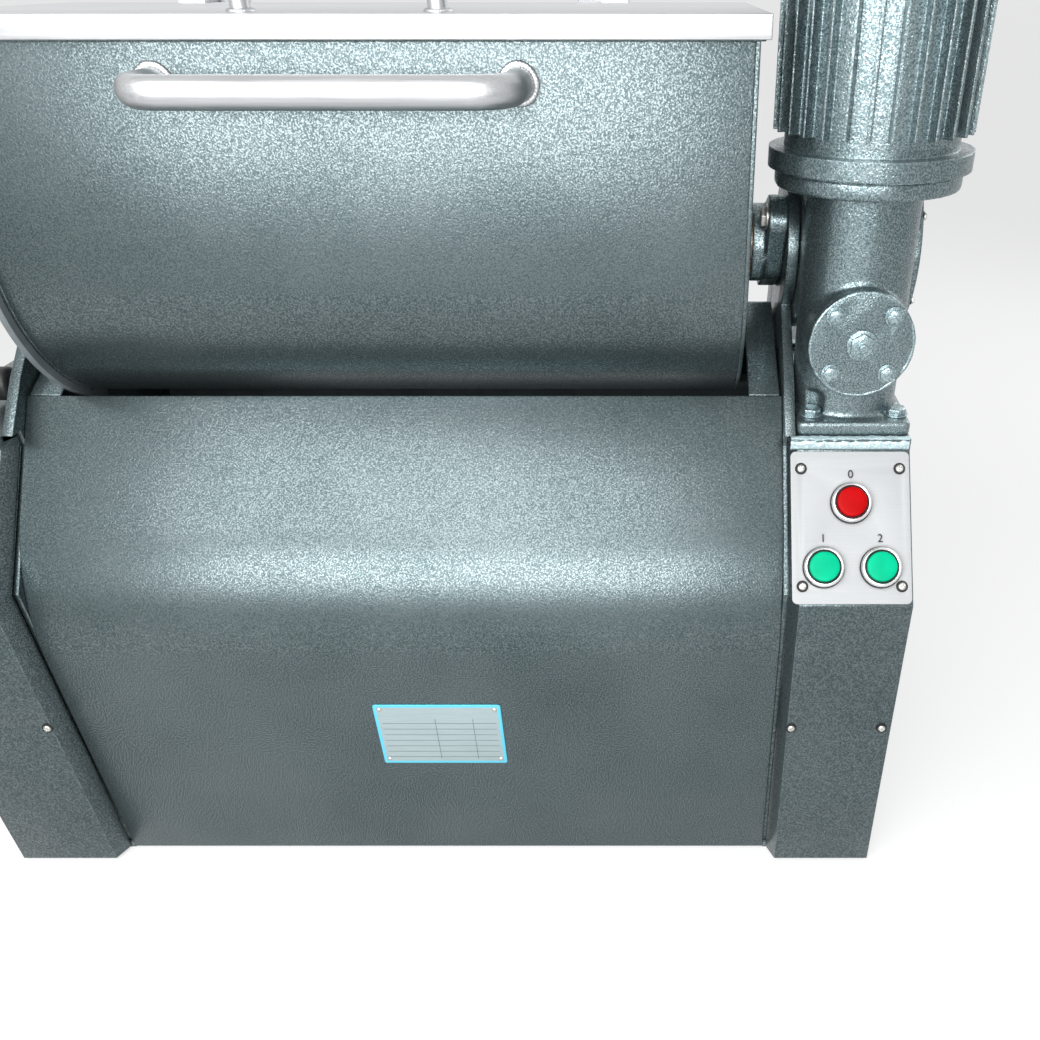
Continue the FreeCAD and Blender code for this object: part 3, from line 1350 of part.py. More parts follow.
def motor_housing():
    """Flange, finned barrel and end shield of the vertical motor."""
    body = new_body("motor_casting")
    at = (column_mid, worm_back)
    shaft_hole = d.worm_core + d.shaft_room
    bore = d.rotor_radius + d.air_gap
    pad(body, "XY_Plane", [(*at, d.motor_flange_radius), (*at, shaft_hole)], flange_joint, motor_base)
    pad(body, "XY_Plane", [(*at, d.motor_radius), (*at, bore)], motor_base, motor_top)
    fins = []
    for number in range(int(d.fin_count.value)):
        fin = doc.addObject("Part::Box", f"motor_fin_{number}")
        bind(fin, "Length", d.fin_radius - d.motor_radius + PAST)
        bind(fin, "Width", d.fin_thick)
        bind(fin, "Height", d.motor_length - d.fin_end * 2)
        turn = 360 * number / int(d.fin_count.value)
        fin.Placement = FreeCAD.Placement(V(0, 0, 0), FreeCAD.Rotation(V(0, 0, 1), turn))
        out = math.cos(math.radians(turn))
        aside = math.sin(math.radians(turn))
        move(fin, column_mid + (d.motor_radius - PAST) * out + d.fin_thick / 2 * aside,
             worm_back + (d.motor_radius - PAST) * aside - d.fin_thick / 2 * out,
             motor_base + d.fin_end)
        fins.append(fin)
    shield = rod("motor_shield", d.motor_radius, d.shield_thick, "z", (column_mid, worm_back, motor_top))
    hole = rod("motor_shield_hole", shaft_hole, d.shield_thick + PAST * 2, "z",
               (column_mid, worm_back, motor_top - PAST))
    finish(join("motor_housing", [body, cut("motor_shield_bored", shield, [hole])] + fins),
           "motor_housing")


def rotor():
    """Rotor with its shaft, joined to the worm by a sleeve."""
    core = rod("rotor_core", d.rotor_radius, d.motor_length - d.rotor_end * 2, "z",
               (column_mid, worm_back, motor_base + d.rotor_end))
    shaft = rod("rotor_shaft", d.worm_core, motor_top + d.tail_length - worm_high, "z",
                (column_mid, worm_back, worm_high))
    finish(join("motor_rotor", [core, shaft]), "motor_rotor")


def fan():
    """Fan hub with radial blades."""
    low = motor_top + d.fan_lift
    blades = [rod("fan_hub", d.worm_core + d.fan_hub_wall, d.fan_width, "z", (column_mid, worm_back, low))]
    count = int(d.fan_blades.value)
    for number in range(count):
        turn = 360 * number / count
        blade = doc.addObject("Part::Box", f"fan_blade_{number}")
        bind(blade, "Length", d.fan_radius - d.worm_core)
        bind(blade, "Width", d.fin_thick)
        bind(blade, "Height", d.fan_width)
        blade.Placement = FreeCAD.Placement(V(0, 0, 0), FreeCAD.Rotation(V(0, 0, 1), turn))
        reach = d.worm_core + d.fan_root
        move(blade, column_mid + reach * math.cos(math.radians(turn)),
             worm_back + reach * math.sin(math.radians(turn)), low)
        blades.append(blade)
    solid = join("fan_blank", blades)
    hole = rod("fan_hole", d.worm_core + d.running_gap, d.fan_width + PAST * 2, "z",
               (column_mid, worm_back, low - PAST))
    finish(cut("motor_fan", solid, [hole]), "motor_fan")


def fan_cowl():
    """Round cowl over the fan, with slots in its top."""
    inside = d.motor_radius + d.seat_gap
    outside = inside + d.cowl_wall
    low = motor_top - d.cowl_lap
    high = motor_top + d.cowl_height
    outline = [
        (inside, low), (outside, low), (outside, high, "round", d.cowl_edge), (0, high),
        (0, high - d.cowl_wall), (inside, high - d.cowl_wall, "round", d.cowl_edge - d.cowl_wall),
    ]
    body = turned("fan_cowl_turned", outline, "XZ_Plane", "V_Axis")
    move(body, column_mid, worm_back, 0)
    slots = []
    count = int(d.slot_count.value)
    for number in range(count):
        turn = 360 * number / count
        slot = doc.addObject("Part::Box", f"cowl_slot_{number}")
        bind(slot, "Length", d.slot_length)
        bind(slot, "Width", d.slot_width)
        bind(slot, "Height", d.cowl_wall * 4)
        slot.Placement = FreeCAD.Placement(V(0, 0, 0), FreeCAD.Rotation(V(0, 0, 1), turn))
        out = math.cos(math.radians(turn))
        aside = math.sin(math.radians(turn))
        move(slot, column_mid + d.slot_start * out + d.slot_width / 2 * aside,
             worm_back + d.slot_start * aside - d.slot_width / 2 * out, high - d.cowl_wall * 3)
        slots.append(slot)
    finish(cut("fan_cowl", body, slots), "fan_cowl")


def terminal_box():
    """Terminal box behind the motor, with its lid and gland."""
    start = worm_back + d.fin_radius
    low_z = motor_base + d.box_lift
    body = block("terminal_box_body", (column_mid - d.box_width / 2, start, low_z),
                 (column_mid + d.box_width / 2, start + d.box_depth, low_z + d.box_height))
    finish(body, "terminal_box")
    reach = d.box_width / 2 + d.box_lap
    cover = block("terminal_lid", (column_mid - reach, start + d.box_depth, low_z - d.box_lap),
                  (column_mid + reach, start + d.box_depth + d.box_lid,
                   low_z + d.box_height + d.box_lap))
    finish(cover, "terminal_lid")
    gland = join("terminal_gland", [
        hexagon("terminal_gland_nut", d.gland_across, d.gland_body, "z",
                (column_mid, start + d.box_depth / 2, low_z - d.gland_body)),
        rod("terminal_gland_end", d.gland_radius, d.gland_body, "z",
            (column_mid, start + d.box_depth / 2, low_z - d.gland_body * 2)),
    ])
    finish(gland, "terminal_gland")


# Controls

BUTTONS = {
    "stop_button": (d.stop_along, as_size(0)),
    "start_button_left": (d.start_along, -d.start_apart / 2),
    "start_button_right": (d.start_along, d.start_apart / 2),
}


def panel_screw_places():
    """Places of the panel's screws: up the slope and across."""
    low = (console_length - d.panel_length) / 2
    places = []
    for along in (low + d.screw_end, low + d.panel_length - d.screw_end):
        for side in (-1, 1):
            places.append((along, (d.panel_width / 2 - d.screw_side) * side))
    return places


def panel_screw_rods(name, radius):
    """Rods where the panel's screws go."""
    rods = []
    for along, across in panel_screw_places():
        tool = rod(f"{name}_{len(rods)}", radius, d.skin * 2 + d.panel_thick)
        on_console(tool, along, across, -d.skin * 2)
        rods.append(tool)
    return rods


def shell_screw_places():
    """Distances from the middle of the screws on a pedestal's front."""
    return (pedestal_inner + d.shell_screw_inner, pedestal_outer - d.shell_screw_side)


def shell_screw_rods(name, side, radius):
    """Rods where the screws on a pedestal's front go."""
    rods = []
    for x in shell_screw_places():
        place = (side * x, front - PAST, d.shell_screw_height)
        rods.append(rod(f"{name}_{len(rods)}", radius, d.skin * 3, "y", place))
    return rods


def control_panel():
    """Flat panel with holes for the three buttons."""
    body = new_body("control_panel_sheet")
    low = (console_length - d.panel_length) / 2
    outline = rectangle(-d.panel_width / 2, low, d.panel_width / 2, low + d.panel_length, d.panel_corner)
    holes = [(across, along, d.button_hole) for along, across in BUTTONS.values()]
    screws = [(across, along, d.screw_radius + d.fit_gap) for along, across in panel_screw_places()]
    pad(body, "XY_Plane", [outline] + holes + screws, 0, d.panel_thick)
    on_console(body, 0, 0, 0)
    finish(body, "control_panel")


def pan_screws():
    """Round-headed screws of the panel and low on the pedestals' fronts."""
    items = []
    for along, across in panel_screw_places():
        number = len(items)
        head = rod(f"panel_screw_head_{number}", d.screw_head, d.screw_head_height)
        on_console(head, along, across, d.panel_thick)
        shank = rod(f"panel_screw_shank_{number}", d.screw_radius, d.skin + d.panel_thick)
        on_console(shank, along, across, -d.skin)
        items.append(join(f"panel_screw_{number}", [head, shank]))
    for side in (LEFT, RIGHT):
        for x in shell_screw_places():
            number = len(items)
            head = rod(f"shell_screw_head_{number}", d.screw_head, d.screw_head_height, "y",
                       (side * x, front - d.screw_head_height, d.shell_screw_height))
            shank = rod(f"shell_screw_shank_{number}", d.screw_radius, d.skin, "y",
                        (side * x, front, d.shell_screw_height))
            items.append(join(f"shell_screw_{number}", [head, shank]))
    finish(join("pan_screws", items), "pan_screws")


def button_bezels():
    """Bezels of the buttons, each with its threaded neck through the panel."""
    items = []
    outer = d.bezel_radius
    neck = d.button_hole - d.fit_gap
    inner = d.stem_radius + d.fit_gap
    well = d.cap_radius + d.fit_gap * 1.5
    base = d.panel_thick
    rise = base + d.bezel_height
    floor = base + d.bezel_floor
    for name, (along, across) in BUTTONS.items():
        outline = [
            (inner, -d.stem_length), (neck, -d.stem_length), (neck, base), (outer, base),
            (outer, rise - d.bezel_edge), (outer - d.bezel_edge, rise), (well, rise), (well, floor), (inner, floor),
        ]
        body = turned(f"bezel_{name}", outline, "XZ_Plane", "V_Axis")
        on_console(body, along, across, 0)
        items.append(body)
    finish(join("button_bezels", items), "button_bezels")


def button_caps():
    """Caps of the buttons, each with its stem."""
    floor = d.panel_thick + d.bezel_floor
    low = floor + d.cap_travel + d.fit_gap
    for name, (along, across) in BUTTONS.items():
        outline = [
            (0, low - d.stem_length), (d.stem_radius, low - d.stem_length), (d.stem_radius, low),
            (d.cap_radius, low), (d.cap_radius, low + d.cap_height, "round", d.cap_edge),
            (0, low + d.cap_height),
        ]
        body = turned(f"{name}_turned", outline, "XZ_Plane", "V_Axis")
        on_console(body, along, across, 0)
        finish(body, name)


def contact_blocks():
    """Switch blocks behind the buttons."""
    items = []
    for name, (along, across) in BUTTONS.items():
        half = d.block_side / 2
        item = doc.addObject("Part::Box", f"contact_{name}")
        bind(item, "Length", d.block_side)
        bind(item, "Width", d.block_side)
        bind(item, "Height", d.block_depth)
        on_console(item, along - half, across - half, -d.stem_length - d.block_depth)
        items.append(item)
    finish(join("contact_blocks", items), "contact_blocks")


def contactors():
    """Two contactors on a rail, inside the right pedestal."""
    rail_low = frame_outer
    rail_high = rail_low + d.din_depth
    half = d.din_width / 2
    rail = block("mounting_rail", (rail_low, -d.din_half, d.switch_height - half),
                 (rail_high, d.din_half, d.switch_height + half))
    finish(rail, "mounting_rail")
    items = []
    half = d.contactor_height / 2
    for y in (-d.contactor_gap / 2 - d.contactor_width, d.contactor_gap / 2):
        items.append(block(f"contactor_{len(items)}", (rail_high, y, d.switch_height - half),
                           (rail_high + d.contactor_depth, y + d.contactor_width,
                            d.switch_height + half)))
    finish(join("contactors", items), "contactors")


def inlet_gland():
    """Cable gland low on the back of the right pedestal."""
    parts = [
        rod("inlet_gland_thread", d.gland_radius - d.fit_gap, d.skin * 6, "y",
            (pedestal_mid, rear - d.skin * 3, d.gland_height)),
        hexagon("inlet_gland_body", d.gland_across, d.gland_body, "y",
                (pedestal_mid, rear, d.gland_height)),
        rod("inlet_gland_dome", d.gland_radius + PAST, d.gland_body, "y",
            (pedestal_mid, rear + d.gland_body, d.gland_height)),
        hexagon("inlet_gland_nut", d.gland_across, d.gland_nut, "y",
                (pedestal_mid, rear - d.skin - d.gland_nut, d.gland_height)),
    ]
    solid = join("inlet_gland_solid", parts)
    hole = rod("inlet_gland_hole", d.cable_radius, d.gland_body * 4, "y",
               (pedestal_mid, rear - d.gland_body - d.gland_nut, d.gland_height))
    finish(cut("inlet_gland", solid, [hole]), "inlet_gland")


# Tilt lock

lock_cos, lock_sin = lock_direction()
lock_middle = (d.sector_inner + d.sector_outer) / 2
lock_y = lock_middle * lock_cos
lock_z = d.axis_height + lock_middle * lock_sin


def index_sector():
    """Sector on the trough's left end, with a hole for each locked position."""
    body = new_body("index_sector_plate")
    margin = d.sector_margin.value
    start = math.radians(d.lock_angle.value - d.tilt_angle.value - margin)
    end = math.radians(d.lock_angle.value + margin)
    middle = (start + end) / 2
    outer = d.sector_outer
    inner = d.sector_inner

    def place(radius, angle):
        return (radius * math.cos(angle), d.axis_height + radius * math.sin(angle))

    outline = [
        (*place(outer, start), "arc", outer, 1), (*place(outer, middle), "arc", outer, 1),
        place(outer, end), (*place(inner, end), "arc", inner, 0),
        (*place(inner, middle), "arc", inner, 0), place(inner, start),
    ]
    holes = []
    for turn in (0, d.tilt_angle.value):
        angle = math.radians(d.lock_angle.value - turn)
        y, z = place(lock_middle, angle)
        holes.append((y, z, d.lock_radius + d.fit_gap))
    low, high = span(LEFT, d.trough_half, d.trough_half + d.sector_thick)
    pad(body, "YZ_Plane", [outline] + holes, low, high)
    finish(body, "index_sector")


def tilt_lock():
    """Locking rod through the left frame plate, drawn back, with its knob outside."""
    tip = d.trough_half + d.sector_thick + d.lock_clear
    knob_start = frame_outer + d.bush_length + d.lock_travel + d.knob_gap
    knob_end = knob_start + d.knob_length
    rod_end = knob_start + d.knob_grip
    shaft = rod("lock_rod", d.lock_radius, rod_end - tip, "x", (-rod_end, lock_y, lock_z))
    knob = doc.addObject("Part::Fillet", "lock_knob_rounded")
    blank = rod("lock_knob", d.knob_radius, d.knob_length, "x", (-knob_end, lock_y, lock_z))
    knob.Base = blank
    doc.recompute()
    round_edges = [n for n, edge in enumerate(blank.Shape.Edges, start=1) if edge.Closed]
    edge_radius = d.knob_grip.value
    knob.Edges = [(n, edge_radius, edge_radius) for n in round_edges]
    finish(join("tilt_lock_rod", [shaft, knob]), "tilt_lock_rod")
    bush_end = frame_outer + d.bush_length
    blank = rod("lock_bush_blank", d.lock_radius * 2, bush_end - frame_outer, "x", (-bush_end, lock_y, lock_z))
    hole = rod("lock_bush_hole", d.lock_radius + d.running_gap, d.bush_length + PAST * 2, "x",
               (-bush_end - PAST, lock_y, lock_z))
    finish(cut("lock_bush", blank, [hole]), "lock_bush")


def build():
    """Make every piece."""
    pedestal_shells()
    for name, side in SIDES.items():
        frame_plate(f"frame_plate_{name}", side)
    pair("base_plates", base_plate)
    pair("bearing_housings", bearing_housing)
    pair("trunnion_bushes", trunnion_bush)
    pair("trough_ends", trough_end)
    pair("trunnions", trunnion)
    pair("casing_wings", casing_wing)
    pair("shaft_seals", shaft_seal)
    cross_rails()
    front_casing()
    rear_casing()
    data_plate()
    housing_bolts()
    trough_shell()
    trough_rim()
    tipping_handle()
    index_sector()
    lid()
    hinges()
    lid_grip()
    kneading_parts()
    bearing_cap()
    worm_pair()
    gearbox_housing()
    gearbox_bearings()
    drum_cover()
    inspection_cover()
    foot_bolts()
    motor_housing()
    rotor()
    fan()
    fan_cowl()
    terminal_box()
    control_panel()
    pan_screws()
    button_bezels()
    button_caps()
    contact_blocks()
    contactors()
    inlet_gland()
    tilt_lock()


def check_and_write():
    """Refuse failed objects and bad shapes, then write one file for each piece."""
    doc.recompute()
    faults = []
    for item in doc.Objects:
        if "Invalid" in item.State or "Error" in item.State:
            faults.append(f"{item.Name}: {item.State}")
    for name, item in pieces:
        if item.Shape.isNull() or not item.Shape.isValid():
            faults.append(f"{name}: bad shape")
    if faults:
        raise RuntimeError("; ".join(faults))
    os.makedirs("parts", exist_ok=True)
    for name, item in pieces:
        item.Shape.exportStep(f"parts/{name}.step")
        print(name, len(item.Shape.Solids), round(item.Shape.Volume))


build()
check_and_write()
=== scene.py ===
import bpy
import bmesh
import json
import math
from mathutils import Matrix, Vector, noise


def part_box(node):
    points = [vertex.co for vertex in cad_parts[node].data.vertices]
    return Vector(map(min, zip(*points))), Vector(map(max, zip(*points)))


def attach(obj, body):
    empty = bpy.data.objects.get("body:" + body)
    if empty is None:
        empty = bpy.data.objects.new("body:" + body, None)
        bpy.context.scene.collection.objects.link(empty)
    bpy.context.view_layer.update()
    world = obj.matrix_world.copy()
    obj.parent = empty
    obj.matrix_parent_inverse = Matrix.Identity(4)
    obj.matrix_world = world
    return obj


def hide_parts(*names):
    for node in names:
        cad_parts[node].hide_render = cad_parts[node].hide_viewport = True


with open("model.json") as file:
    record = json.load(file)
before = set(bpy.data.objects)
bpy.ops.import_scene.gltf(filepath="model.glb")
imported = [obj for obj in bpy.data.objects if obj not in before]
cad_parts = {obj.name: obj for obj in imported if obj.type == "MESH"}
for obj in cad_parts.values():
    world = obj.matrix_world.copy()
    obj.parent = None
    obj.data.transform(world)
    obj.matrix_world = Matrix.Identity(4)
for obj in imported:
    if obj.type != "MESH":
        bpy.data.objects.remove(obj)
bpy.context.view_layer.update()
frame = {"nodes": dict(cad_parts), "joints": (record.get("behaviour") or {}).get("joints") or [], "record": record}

bl_info = {
    "name": "Dough mixer dresser",
    "version": (1, 0, 0),
    "blender": (4, 5, 0),
    "location": "3D View > Sidebar > Dough mixer",
    "description": "Gives the packed dough mixer its finishes, fine pieces, floor and light",
    "category": "Object",
}

MM = 0.001
UP = Vector((0, 0, 1))
BACKWARD = Vector((0, 1, 0))
FORWARD = -BACKWARD
OUTWARD = Vector((1, 0, 0))

JOINTS = {joint["name"]: joint for joint in frame["joints"]}
SLOTS = {part["node"]: part["material_slot"] for part in frame["record"]["subparts"]}
SLOPE_OUT = -Vector(JOINTS["stop_press"]["axis"]).normalized()
SLOPE_UP = Vector((0, SLOPE_OUT.z, -SLOPE_OUT.y))


# Places read from the frame

def low(node):
    """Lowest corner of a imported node."""
    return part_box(node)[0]


def high(node):
    """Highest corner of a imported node."""
    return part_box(node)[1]


def middle(node):
    """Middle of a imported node."""
    return (low(node) + high(node)) / 2


def islands(node):
    """Corners of each separate solid in a node, from left to right."""
    bm = bmesh.new()
    bm.from_mesh(frame["nodes"][node].data)
    bmesh.ops.remove_doubles(bm, verts=bm.verts, dist=1e-6)
    left = set(bm.verts)
    found = []
    for start in bm.verts:
        if start not in left:
            continue
        left.discard(start)
        stack = [start]
        corners = []
        while stack:
            vert = stack.pop()
            corners.append(vert.co.copy())
            for edge in vert.link_edges:
                other = edge.other_vert(vert)
                if other in left:
                    left.remove(other)
                    stack.append(other)
        found.append(corners)
    bm.free()
    return sorted(found, key=lambda corners: tuple(round(sum(c[i] for c in corners) / len(corners), 4)
                                                   for i in range(3)))


def line_through(corners, axis):
    """Middle line of a round or hexagonal piece: a function that gives the place at a height along
    the axis, and the lowest and highest of those heights."""
    along = axis.normalized()
    aside = along.orthogonal().normalized()
    above = along.cross(aside)
    ends = []
    for direction in (aside, above, along):
        values = [corner.dot(direction) for corner in corners]
        ends.append((min(values), max(values)))
    centre = aside * sum(ends[0]) / 2 + above * sum(ends[1]) / 2
    return (lambda height: centre + along * height), ends[2][0], ends[2][1]


# Settings that a user would change

def kind_of(maker, **options):
    """A kind of setting: it takes a name, a text and a default."""
    return lambda name, text, default: maker(name=name, description=text, default=default, **options)


number = kind_of(bpy.props.FloatProperty)
share = kind_of(bpy.props.FloatProperty, min=0, max=1, subtype="FACTOR")
length = kind_of(bpy.props.FloatProperty, min=0, unit="LENGTH", precision=4)
position = kind_of(bpy.props.FloatProperty, unit="LENGTH", precision=4)
angle = kind_of(bpy.props.FloatProperty, subtype="ANGLE")
colour = kind_of(bpy.props.FloatVectorProperty, size=3, min=0, max=1, subtype="COLOR")


class MixerFinishSettings(bpy.types.PropertyGroup):
    """Colours and finishes of the mixer."""

    enamel: colour("Enamel", "Hammered silver-grey enamel", (0.140, 0.170, 0.177))
    enamel_deep: colour("Enamel in the dimples", "Colour between the flecks", (0.030, 0.051, 0.055))
    enamel_metal: share("Metal in the enamel", "How metallic the enamel looks", 0.85)
    enamel_rough: share("Roughness of the enamel", "How matt the enamel is", 0.32)
    dimple: length("Dimple", "Width of a dimple in the enamel", 1.4 * MM)
    dimple_depth: length("Dimple depth", "Depth of a dimple in the enamel", 0.08 * MM)
    cast_lump: length("Casting lump", "Width of the lumps on a casting", 5 * MM)
    cast_depth: length("Casting lump depth", "Depth of the lumps on a casting", 0.32 * MM)
    frame_grey: colour("Frame grey", "Enamel of the hidden frame", (0.13, 0.15, 0.16))
    steel: colour("Stainless steel", "Brushed stainless steel", (0.50, 0.51, 0.52))
    bright_steel: colour("Ground steel", "Ground shafts and pins", (0.52, 0.53, 0.55))
    bronze: colour("Bronze", "Bushes and the worm wheel", (0.44, 0.26, 0.10))
    zinc: colour("Zinc", "Bright zinc plating", (0.52, 0.52, 0.49))
    chrome: colour("Chrome", "Chrome of the bezels", (0.78, 0.78, 0.79))
    aluminium: colour("Aluminium", "Satin panel", (0.38, 0.39, 0.395))
    stop_red: colour("Stop red", "Cap of the stop button", (0.38, 0.001, 0.002))
    start_green: colour("Start green", "Caps of the start buttons", (0.0, 0.41, 0.21))
    black: colour("Black", "Black plastic", (0.012, 0.012, 0.013))
    rubber: colour("Rubber", "Black rubber", (0.010, 0.010, 0.010))
    ink: colour("Ink", "Print on the panel and the plate", (0.015, 0.015, 0.02))
    plate_blue: colour("Plate blue", "Border of the data plate", (0.10, 0.50, 0.66))
    plate_ground: colour("Plate ground", "Field of the data plate", (0.30, 0.37, 0.38))


class MixerStageSettings(bpy.types.PropertyGroup):
    """Camera, floor and light."""

    camera_x: position("Camera X", "Place of the camera along the trough", 0.1975)
    camera_y: position("Camera Y", "Place of the camera in front", -0.756)
    camera_z: position("Camera Z", "Height of the camera", 0.661)
    camera_tilt: angle("Tilt", "Camera's turn up from straight down", math.radians(55))
    lens: number("Lens", "Focal length in millimetres, on a 36 mm sensor", 32.19)
    shift_x: number("Shift X", "Sideways shift of the frame", -0.1385)
    shift_y: number("Shift Y", "Upward shift of the frame", 0.0962)
    floor_size: length("Floor", "Length of a side of the floor", 80.0)
    floor_colour: colour("Floor colour", "Colour of the floor and the backdrop", (0.32, 0.32, 0.32))
    floor_lift: share("Floor lift", "Paleness that the camera and reflections add to the floor", 0.62)
    world_level: number("World level", "Strength of the even light from all round", 0.42)
    key_power: number("Key light", "Power of the large light above the front, in watts", 26)
    front_power: number("Front light", "Power of the light beside the camera, in watts", 25)
    rim_power: number("Rim light", "Power of the light at the back, in watts", 10)


# Node groups and materials

class Wiring:
    """Short ways to place and join the nodes of one tree."""

    def __init__(self, tree):
        """Keep the tree that the nodes go into."""
        self.tree = tree

    def node(self, kind, settings=None, **inputs):
        """Place a node, set its properties, and join or fill its inputs."""
        made = self.tree.nodes.new(kind)
        for name, value in (settings or {}).items():
            setattr(made, name, value)
        return self.join(made, **inputs)

    def join(self, node, **inputs):
        """Join or fill inputs; an underscore stands for a space in their names."""
        for name, value in inputs.items():
            self.feed(node, name.replace("_", " "), value)
        return node

    def feed(self, node, name, value):
        """Fill the input that has a name or a number."""
        self.fill(node.inputs[name], value)

    def fill(self, socket, value):
        """Join another node's output to a socket, or set the socket's own value."""
        if isinstance(value, bpy.types.NodeSocket):
            self.tree.links.new(value, socket)
        else:
            socket.default_value = value

    def maths(self, operation, first, second=0.0, third=0.0, clamp=False):
        """One step of arithmetic."""
        made = self.node("ShaderNodeMath", {"operation": operation, "use_clamp": clamp})
        for place, value in enumerate((first, second, third)):
            self.feed(made, place, value)
        return made.outputs[0]

    def mix(self, factor, first, second):
        """Mix of two colours."""
        made = self.node("ShaderNodeMix", {"data_type": "RGBA"})
        for name, value in (("Factor", factor), ("A", first), ("B", second)):
            self.fill(next(s for s in made.inputs if s.name == name and s.enabled), value)
        return next(s for s in made.outputs if s.enabled)

    def ramp(self, value, low_end, high_end, low_out=0.0, high_out=1.0):
        """Map a range of values to another, clamped."""
        return self.node("ShaderNodeMapRange", Value=value, From_Min=low_end, From_Max=high_end,
                         To_Min=low_out, To_Max=high_out).outputs[0]

    def noise(self, place, scale, detail=3.0, rough=0.5, distortion=0.0):
        """Values of a noise texture."""
        return self.node("ShaderNodeTexNoise", Vector=place, Scale=scale, Detail=detail,
                         Roughness=rough, Distortion=distortion).outputs["Fac"]

    def bump(self, strength, distance, height, normal):
        """Normal that follows a height."""
        return self.node("ShaderNodeBump", Strength=strength, Distance=distance, Height=height,
                         Normal=normal).outputs["Normal"]

    def seen(self):
        """1 for a ray of the camera, of a reflection or of a view through glass."""
        path = self.node("ShaderNodeLightPath")
        seen = self.maths("MAXIMUM", path.outputs["Is Camera Ray"], path.outputs["Is Glossy Ray"])
        return self.maths("MAXIMUM", seen, path.outputs["Is Transmission Ray"])


def start_group(name, inputs, outputs):
    """A new shader node group with named sockets, and its wiring."""
    tree = bpy.data.node_groups.new(name, "ShaderNodeTree")
    for socket_name, kind, default in inputs:
        socket = tree.interface.new_socket(socket_name, in_out="INPUT", socket_type=kind)
        socket.default_value = default
    for socket_name, kind in outputs:
        tree.interface.new_socket(socket_name, in_out="OUTPUT", socket_type=kind)
    return Wiring(tree), tree.nodes.new("NodeGroupInput").outputs, tree.nodes.new("NodeGroupOutput")


FLOAT = "NodeSocketFloat"
COLOUR = "NodeSocketColor"
VECTOR = "NodeSocketVector"


def object_place(w):
    """Place on the object, in metres."""
    return w.node("ShaderNodeTexCoord").outputs["Object"]


def hammered_group():
    """Dimples and flecks of hammered enamel."""
    w, given, result = start_group("Hammered enamel", [
        ("Dimple", FLOAT, 0.002), ("Light", COLOUR, (1, 1, 1, 1)), ("Deep", COLOUR, (0, 0, 0, 1)),
        ("Fleck", FLOAT, 0.5), ("Roughness", FLOAT, 0.4)],
        [("Color", COLOUR), ("Height", FLOAT), ("Roughness", FLOAT)])
    place = object_place(w)
    scale = w.maths("DIVIDE", 1.0, given["Dimple"])
    cells = w.node("ShaderNodeTexVoronoi", {"feature": "SMOOTH_F1"}, Vector=place, Scale=scale,
                   Smoothness=0.6)
    swirl = w.noise(place, w.maths("MULTIPLY", scale, 0.45), 3.0, 0.6, 0.4)
    grain = w.noise(place, w.maths("MULTIPLY", scale, 1.25), 2.0, 0.7)
    cloud = w.noise(place, 9.0, 3.0, 0.55)
    dimple = w.ramp(cells.outputs["Distance"], 0.05, 0.62)
    fleck = w.ramp(grain, 0.44, 0.60)
    tone = w.maths("ADD", w.maths("MULTIPLY", fleck, 0.75), w.maths("MULTIPLY", dimple, 0.20))
    tone = w.maths("ADD", tone, w.ramp(cloud, 0.3, 0.7, -0.08, 0.16))
    tone = w.maths("SUBTRACT", tone, 0.5)
    tone = w.maths("MULTIPLY_ADD", tone, given["Fleck"], 0.5, clamp=True)
    height = w.maths("ADD", w.maths("MULTIPLY", dimple, 0.7), w.maths("MULTIPLY", swirl, 0.3))
    rough = w.maths("MULTIPLY_ADD", w.maths("SUBTRACT", fleck, 0.5), -0.16, given["Roughness"])
    w.join(result, Color=w.mix(tone, given["Deep"], given["Light"]), Height=height, Roughness=rough)
    return w.tree


def lumps_group():
    """Soft lumps and pits of a painted casting."""
    w, given, result = start_group("Casting skin", [("Lump", FLOAT, 0.006)], [("Height", FLOAT)])
    scale = w.maths("DIVIDE", 1.0, given["Lump"])
    place = object_place(w)
    broad = w.noise(place, scale, 4.0, 0.6)
    pits = w.node("ShaderNodeTexVoronoi", Vector=place, Scale=w.maths("MULTIPLY", scale, 1.7))
    pit = w.ramp(pits.outputs["Distance"], 0.0, 0.22, -0.5, 0.0)
    w.feed(result, "Height", w.maths("ADD", broad, pit))
    return w.tree


def edge_group():
    """Rounded edges, and a painted highlight along them, in patches."""
    w, given, result = start_group("Rubbed edge", [("Radius", FLOAT, 0.001), ("Amount", FLOAT, 0.5)],
                                   [("Mask", FLOAT), ("Normal", VECTOR)])
    rounded = w.node("ShaderNodeBevel", {"samples": 4}, Radius=given["Radius"])
    true = w.node("ShaderNodeNewGeometry")
    dot = w.node("ShaderNodeVectorMath", {"operation": "DOT_PRODUCT"})
    w.feed(dot, 0, rounded.outputs["Normal"])
    w.feed(dot, 1, true.outputs["Normal"])
    patches = w.ramp(w.noise(object_place(w), 120.0), 0.35, 0.6)
    # Where this is high, the finishes paint a highlight: along the edges, in noisy patches.
    highlight = w.maths("MULTIPLY", w.ramp(dot.outputs["Value"], 0.995, 0.86), patches)
    highlight = w.maths("MULTIPLY", highlight, given["Amount"])
    w.join(result, Mask=highlight, Normal=rounded.outputs["Normal"])
    return w.tree


def brushed_group():
    """Fine parallel scratches along one direction."""
    w, given, result = start_group("Brushed grain", [
        ("Stretch", VECTOR, (1, 1, 1)), ("Scale", FLOAT, 900.0)], [("Value", FLOAT), ("Smudge", FLOAT)])
    place = object_place(w)
    stretched = w.node("ShaderNodeMapping", Vector=place, Scale=given["Stretch"])
    w.feed(result, "Value", w.noise(stretched.outputs["Vector"], given["Scale"], 4.0, 0.7))
    w.feed(result, "Smudge", w.ramp(w.noise(place, 14.0, 4.0, 0.6), 0.4, 0.65))
    return w.tree


